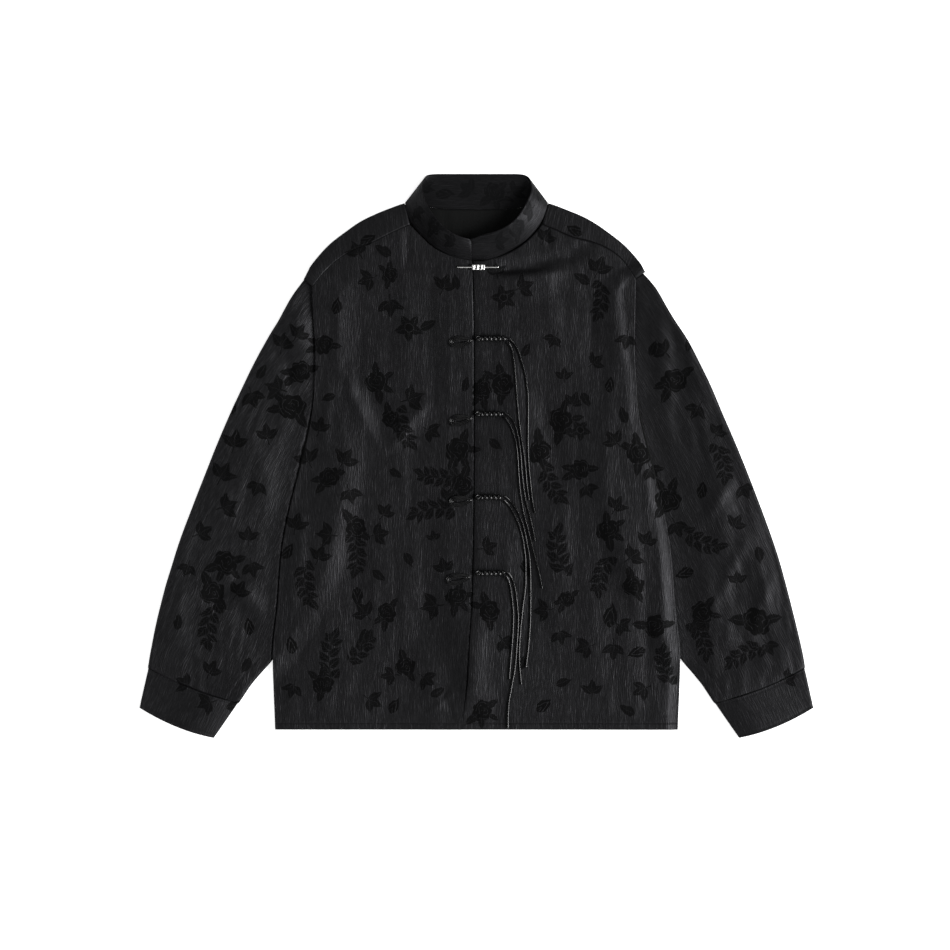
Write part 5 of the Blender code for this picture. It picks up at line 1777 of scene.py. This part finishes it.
@dataclass(frozen=True)
class BarPin:
    """Silver bar pin at the neck: a thin rod with tapered ends through a ridged block.

    The rod's tapers are shares of its tip and how much each narrows. The block's sizes are shares of its own:
    its rounding, the places, half-width and depths of its grooves, and the edge and depth of its sunk dots.
    """

    silver: bpy.types.Material
    fill: bpy.types.Material
    tip: float = 3.2
    tapers: tuple[tuple[float, float], ...] = ((0.45, 0.86), (0.4, 0.74), (0.15, 0.5))
    rounding: float = 0.24
    grooves: tuple[float, ...] = (-0.30, 0.0, 0.30)
    groove_reach: float = 0.06
    groove_shrink: tuple[float, float] = (0.82, 0.76)
    dot_edge: float = 0.11
    dot_slope: float = 0.03
    dot_depth: float = 0.06
    smooth_below: float = 38.0

    @staticmethod
    def pick(obj: bpy.types.Object, test: Callable[[bpy.types.MeshPolygon], bool]) -> None:
        """Select in edit mode only the faces that pass a test."""
        bpy.ops.object.mode_set(mode="EDIT")
        bpy.ops.mesh.select_mode(type="FACE")
        bpy.ops.mesh.select_all(action="DESELECT")
        bpy.ops.object.mode_set(mode="OBJECT")
        for face in obj.data.polygons:
            face.select = test(face)
        bpy.ops.object.mode_set(mode="EDIT")

    def settle(self, obj: bpy.types.Object, name: str) -> bpy.types.Object:
        """Name a finished piece, put its place into its mesh and smooth its curved faces."""
        bpy.ops.object.mode_set(mode="OBJECT")
        obj.name = name
        bpy.ops.object.transform_apply(location=True, rotation=True, scale=True)
        bpy.ops.object.shade_smooth_by_angle(angle=math.radians(self.smooth_below))
        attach(obj, BODY)
        return obj

    def rod(self) -> bpy.types.Object:
        """Turn the rod: a cylinder whose ends are drawn out to blunt points.

        Returns:
            The rod.
        """
        low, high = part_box("pin_bar")
        middle = (low + high) / 2
        tip = self.tip * METRES
        radius = (high.z - low.z) / 2
        bpy.ops.object.select_all(action="DESELECT")
        bpy.ops.mesh.primitive_cylinder_add(vertices=24, radius=radius, depth=high.x - low.x - 2 * tip,
                                            location=middle, rotation=(0, math.pi / 2, 0))
        rod = bpy.context.object
        bpy.ops.object.transform_apply(location=True, rotation=True, scale=True)
        for way in (-1, 1):
            self.pick(rod, lambda face: face.normal.x * way > 0.9)
            for step, shrink in self.tapers:
                bpy.ops.mesh.extrude_region_move(TRANSFORM_OT_translate={"value": (way * tip * step, 0, 0)})
                end = Vector((high.x if way > 0 else low.x, middle.y, middle.z))
                bpy.ops.transform.resize(value=(1, shrink, shrink), center_override=end)
        rod.data.materials.append(self.silver)
        self.settle(rod, "pin_rod")
        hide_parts("pin_bar")
        return rod

    def block(self) -> bpy.types.Object:
        """Cast the block: rounded, with grooves round it and dark dots sunk in its ridges.

        Returns:
            The block.
        """
        low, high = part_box("pin_block")
        middle, size = (low + high) / 2, high - low
        bpy.ops.object.select_all(action="DESELECT")
        bpy.ops.mesh.primitive_cube_add(size=1, location=middle)
        block = bpy.context.object
        block.scale = size
        bpy.ops.object.transform_apply(location=True, rotation=True, scale=True)
        bpy.ops.object.mode_set(mode="EDIT")
        bpy.ops.mesh.select_all(action="SELECT")
        bpy.ops.mesh.bevel(offset=size.z * self.rounding, segments=4, affect="EDGES")
        for share in [groove + self.groove_reach * side for groove in self.grooves for side in (-1, 0, 1)]:
            bpy.ops.mesh.select_all(action="SELECT")
            bpy.ops.mesh.bisect(plane_co=(middle.x + size.x * share, middle.y, middle.z), plane_no=(1, 0, 0))
        for share in self.grooves:
            bpy.ops.mesh.select_mode(type="VERT")
            bpy.ops.mesh.select_all(action="DESELECT")
            bpy.ops.object.mode_set(mode="OBJECT")
            at = middle.x + size.x * share
            for point in block.data.vertices:
                point.select = abs(point.co.x - at) < size.x * 0.01
            bpy.ops.object.mode_set(mode="EDIT")
            bpy.ops.transform.resize(value=(1, *self.groove_shrink),
                                     center_override=Vector((at, middle.y, middle.z)))
        block.data.materials.append(self.silver)
        block.data.materials.append(self.fill)
        self.pick(block, lambda face: face.normal.z > 0.97 and face.center.z > high.z - size.z * 0.05
                  and face.area > size.x * size.y * 0.03)
        bpy.ops.mesh.inset(thickness=size.z * self.dot_edge, depth=0.0, use_individual=True)
        bpy.ops.mesh.inset(thickness=size.z * self.dot_slope, depth=-size.z * self.dot_depth,
                           use_individual=True)
        block.active_material_index = 1
        bpy.ops.object.material_slot_assign()
        self.settle(block, "pin_centre")
        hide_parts("pin_block")
        return block


@dataclass(frozen=True)
class Studio:
    """Pale floor that hides its shadows, soft lights and the camera straight above, in metres."""

    lens: float = 170.0
    sensor: float = 36.0
    above: tuple[float, float, float] = (-0.0019, -0.0239, 5.796)
    floor_reach: float = 6.0
    floor_tones: tuple[float, float] = (0.90, 0.93)
    floor_glow: float = 0.72
    room_light: float = 0.09
    lamps: tuple[Lamp, ...] = (
        Lamp("key", (7.6, -1.5, 5.1), 4.6, 1430.0), Lamp("left", (-5.0, 2.4, 3.6), 3.2, 110.0),
        Lamp("front", (-1.0, -5.0, 3.8), 6.0, 110.0), Lamp("kicker", (6.0, 2.5, 4.6), 1.2, 85.0),
    )

    def camera(self) -> None:
        """Set the camera above the garment, as the photograph was taken."""
        data = bpy.data.cameras.new("camera")
        data.lens, data.sensor_width = self.lens, self.sensor
        camera = bpy.data.objects.new("camera", data)
        camera.location = self.above
        bpy.context.scene.collection.objects.link(camera)
        bpy.context.scene.camera = camera

    def floor(self) -> None:
        """Lay the white sheet that the garment rests on."""
        material, tree, shader = blank_material("studio_floor")
        tones = ((tone,) * 3 for tone in self.floor_tones)
        tree.links.new(mix_colour(tree, object_noise(tree, 3.0), *tones), shader.inputs["Base Color"])
        shader.inputs["Roughness"].default_value = 0.9
        shader.inputs["Emission Color"].default_value = (1.0, 1.0, 1.0, 1.0)
        shader.inputs["Emission Strength"].default_value = self.floor_glow
        mesh = bpy.data.meshes.new("studio_floor")
        low, high = -self.floor_reach, self.floor_reach
        mesh.from_pydata([(low, low, 0), (high, low, 0), (high, high, 0), (low, high, 0)], [], [(0, 1, 2, 3)])
        mesh.materials.append(material)
        floor = bpy.data.objects.new("studio_floor", mesh)
        bpy.context.scene.collection.objects.link(floor)

    def lights(self) -> None:
        """Hang the soft boxes and set the room's light."""
        for lamp in self.lamps:
            data = bpy.data.lights.new(lamp.name, "AREA")
            data.shape, data.size, data.energy = "SQUARE", lamp.size, lamp.power
            light = bpy.data.objects.new(lamp.name, data)
            light.location = lamp.place
            light.rotation_euler = (-Vector(lamp.place)).to_track_quat("-Z", "Y").to_euler()
            bpy.context.scene.collection.objects.link(light)
        world = bpy.data.worlds.new("room")
        world.use_nodes = True
        world.node_tree.nodes["Background"].inputs["Color"].default_value = (1.0, 1.0, 1.0, 1.0)
        world.node_tree.nodes["Background"].inputs["Strength"].default_value = self.room_light
        bpy.context.scene.world = world
        bpy.context.scene.view_settings.view_transform = "Standard"


def hem_line(side: Side, points: int = 40) -> Array:
    """Places of the stitching above the hem of one front."""
    up = HEM + STITCH_UP
    start = placket_edge(up) - 3.0 if side == RIGHT else placket_edge(up) + 4.0
    end = side * (float(body_edge(np.array(side * 1.0), np.array(up))) - 2.0)
    return np.stack([np.linspace(start, end, points), np.full(points, up)], 1)


def plain(box: object) -> list:
    """A box as plain lists of numbers."""
    return [[float(number) for number in corner] for corner in box]


def report(*pieces: bpy.types.Object) -> None:
    """Log finished pieces with their faces."""
    for piece in pieces:
        log.info("%s: %d faces", piece.name, len(piece.data.polygons))


def main() -> None:
    """Build the cloth, then what lies on it, then the studio, and report each piece."""
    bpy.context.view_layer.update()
    studio = Studio()
    studio.camera()
    satin, reverse = SatinJacquard().material(), PlainReverse().material()
    pressed = SatinJacquard(name="pressed_satin", ground=(0.0176, 0.0176, 0.0188),
                            figure=(0.0084, 0.0085, 0.0090), matt=0.56).material()
    waxed, thread = WaxedCord().material(), Thread().material()
    right = Front(node="front_right", side=RIGHT, height=right_front_height, inner_edge=placket_edge,
                  flat=(259.0, 652.0), area=0.148, rests_on=("back", "front_left"), cut_edge=True)
    left = Front(node="front_left", side=LEFT, height=left_front_height, inner_edge=underlap_edge,
                 flat=(309.0, 653.0), area=0.165, rests_on=("back",))
    back = Back(node="back", flat=(526.0, 780.0), area=0.34, held="folded",
                rests_on=("sleeve_right", "sleeve_left"), reverse_up=True)
    fronts = [piece.build(satin, reverse) for piece in (right, left)]
    report(*fronts, back.build(satin, reverse))
    for side, word in ((RIGHT, "right"), (LEFT, "left")):
        sleeve = Sleeve(node=f"sleeve_{word}", side=side, flat=(430.0, 610.0), area=0.16, held="folded")
        cuff = Cuff(node=f"cuff_{word}", side=side, flat=(206.0, 57.0), held="folded", wall=1.1, sections=34)
        report(sleeve.build(satin, reverse), cuff.build(satin, reverse))
    collar = Collar(node="collar", flat=(412.0, 45.0), area=0.0165, rests_on=("back",), faced=True, wall=WALL,
                    stamps=COLLAR_STAMPS)
    report(collar.build(pressed, reverse))
    bpy.context.view_layer.update()
    rest = Rest(*fronts)
    knots = {number: FrogKnot(number, frog) for number, frog in enumerate(FROGS, 1)}
    for number, knot in knots.items():
        report(FrogLoop(number, knot.frog).build(rest, waxed), knot.build(waxed))
    for name, length in TAIL_LENGTHS.items():
        Tail(name, knots[int(name.split("_")[1])].axis(), length).build(rest, waxed)
    for side, word in ((RIGHT, "right"), (LEFT, "left")):
        report(Stitching(f"hem_stitching_{word}", hem_line(side)).build(thread, rest))
    pin = BarPin(Silver().material(), Enamel().material())
    report(pin.rod(), pin.block())
    studio.floor()
    studio.lights()


if __name__ == "__main__":
    logging.basicConfig(level=logging.INFO, format="%(message)s")
    main()
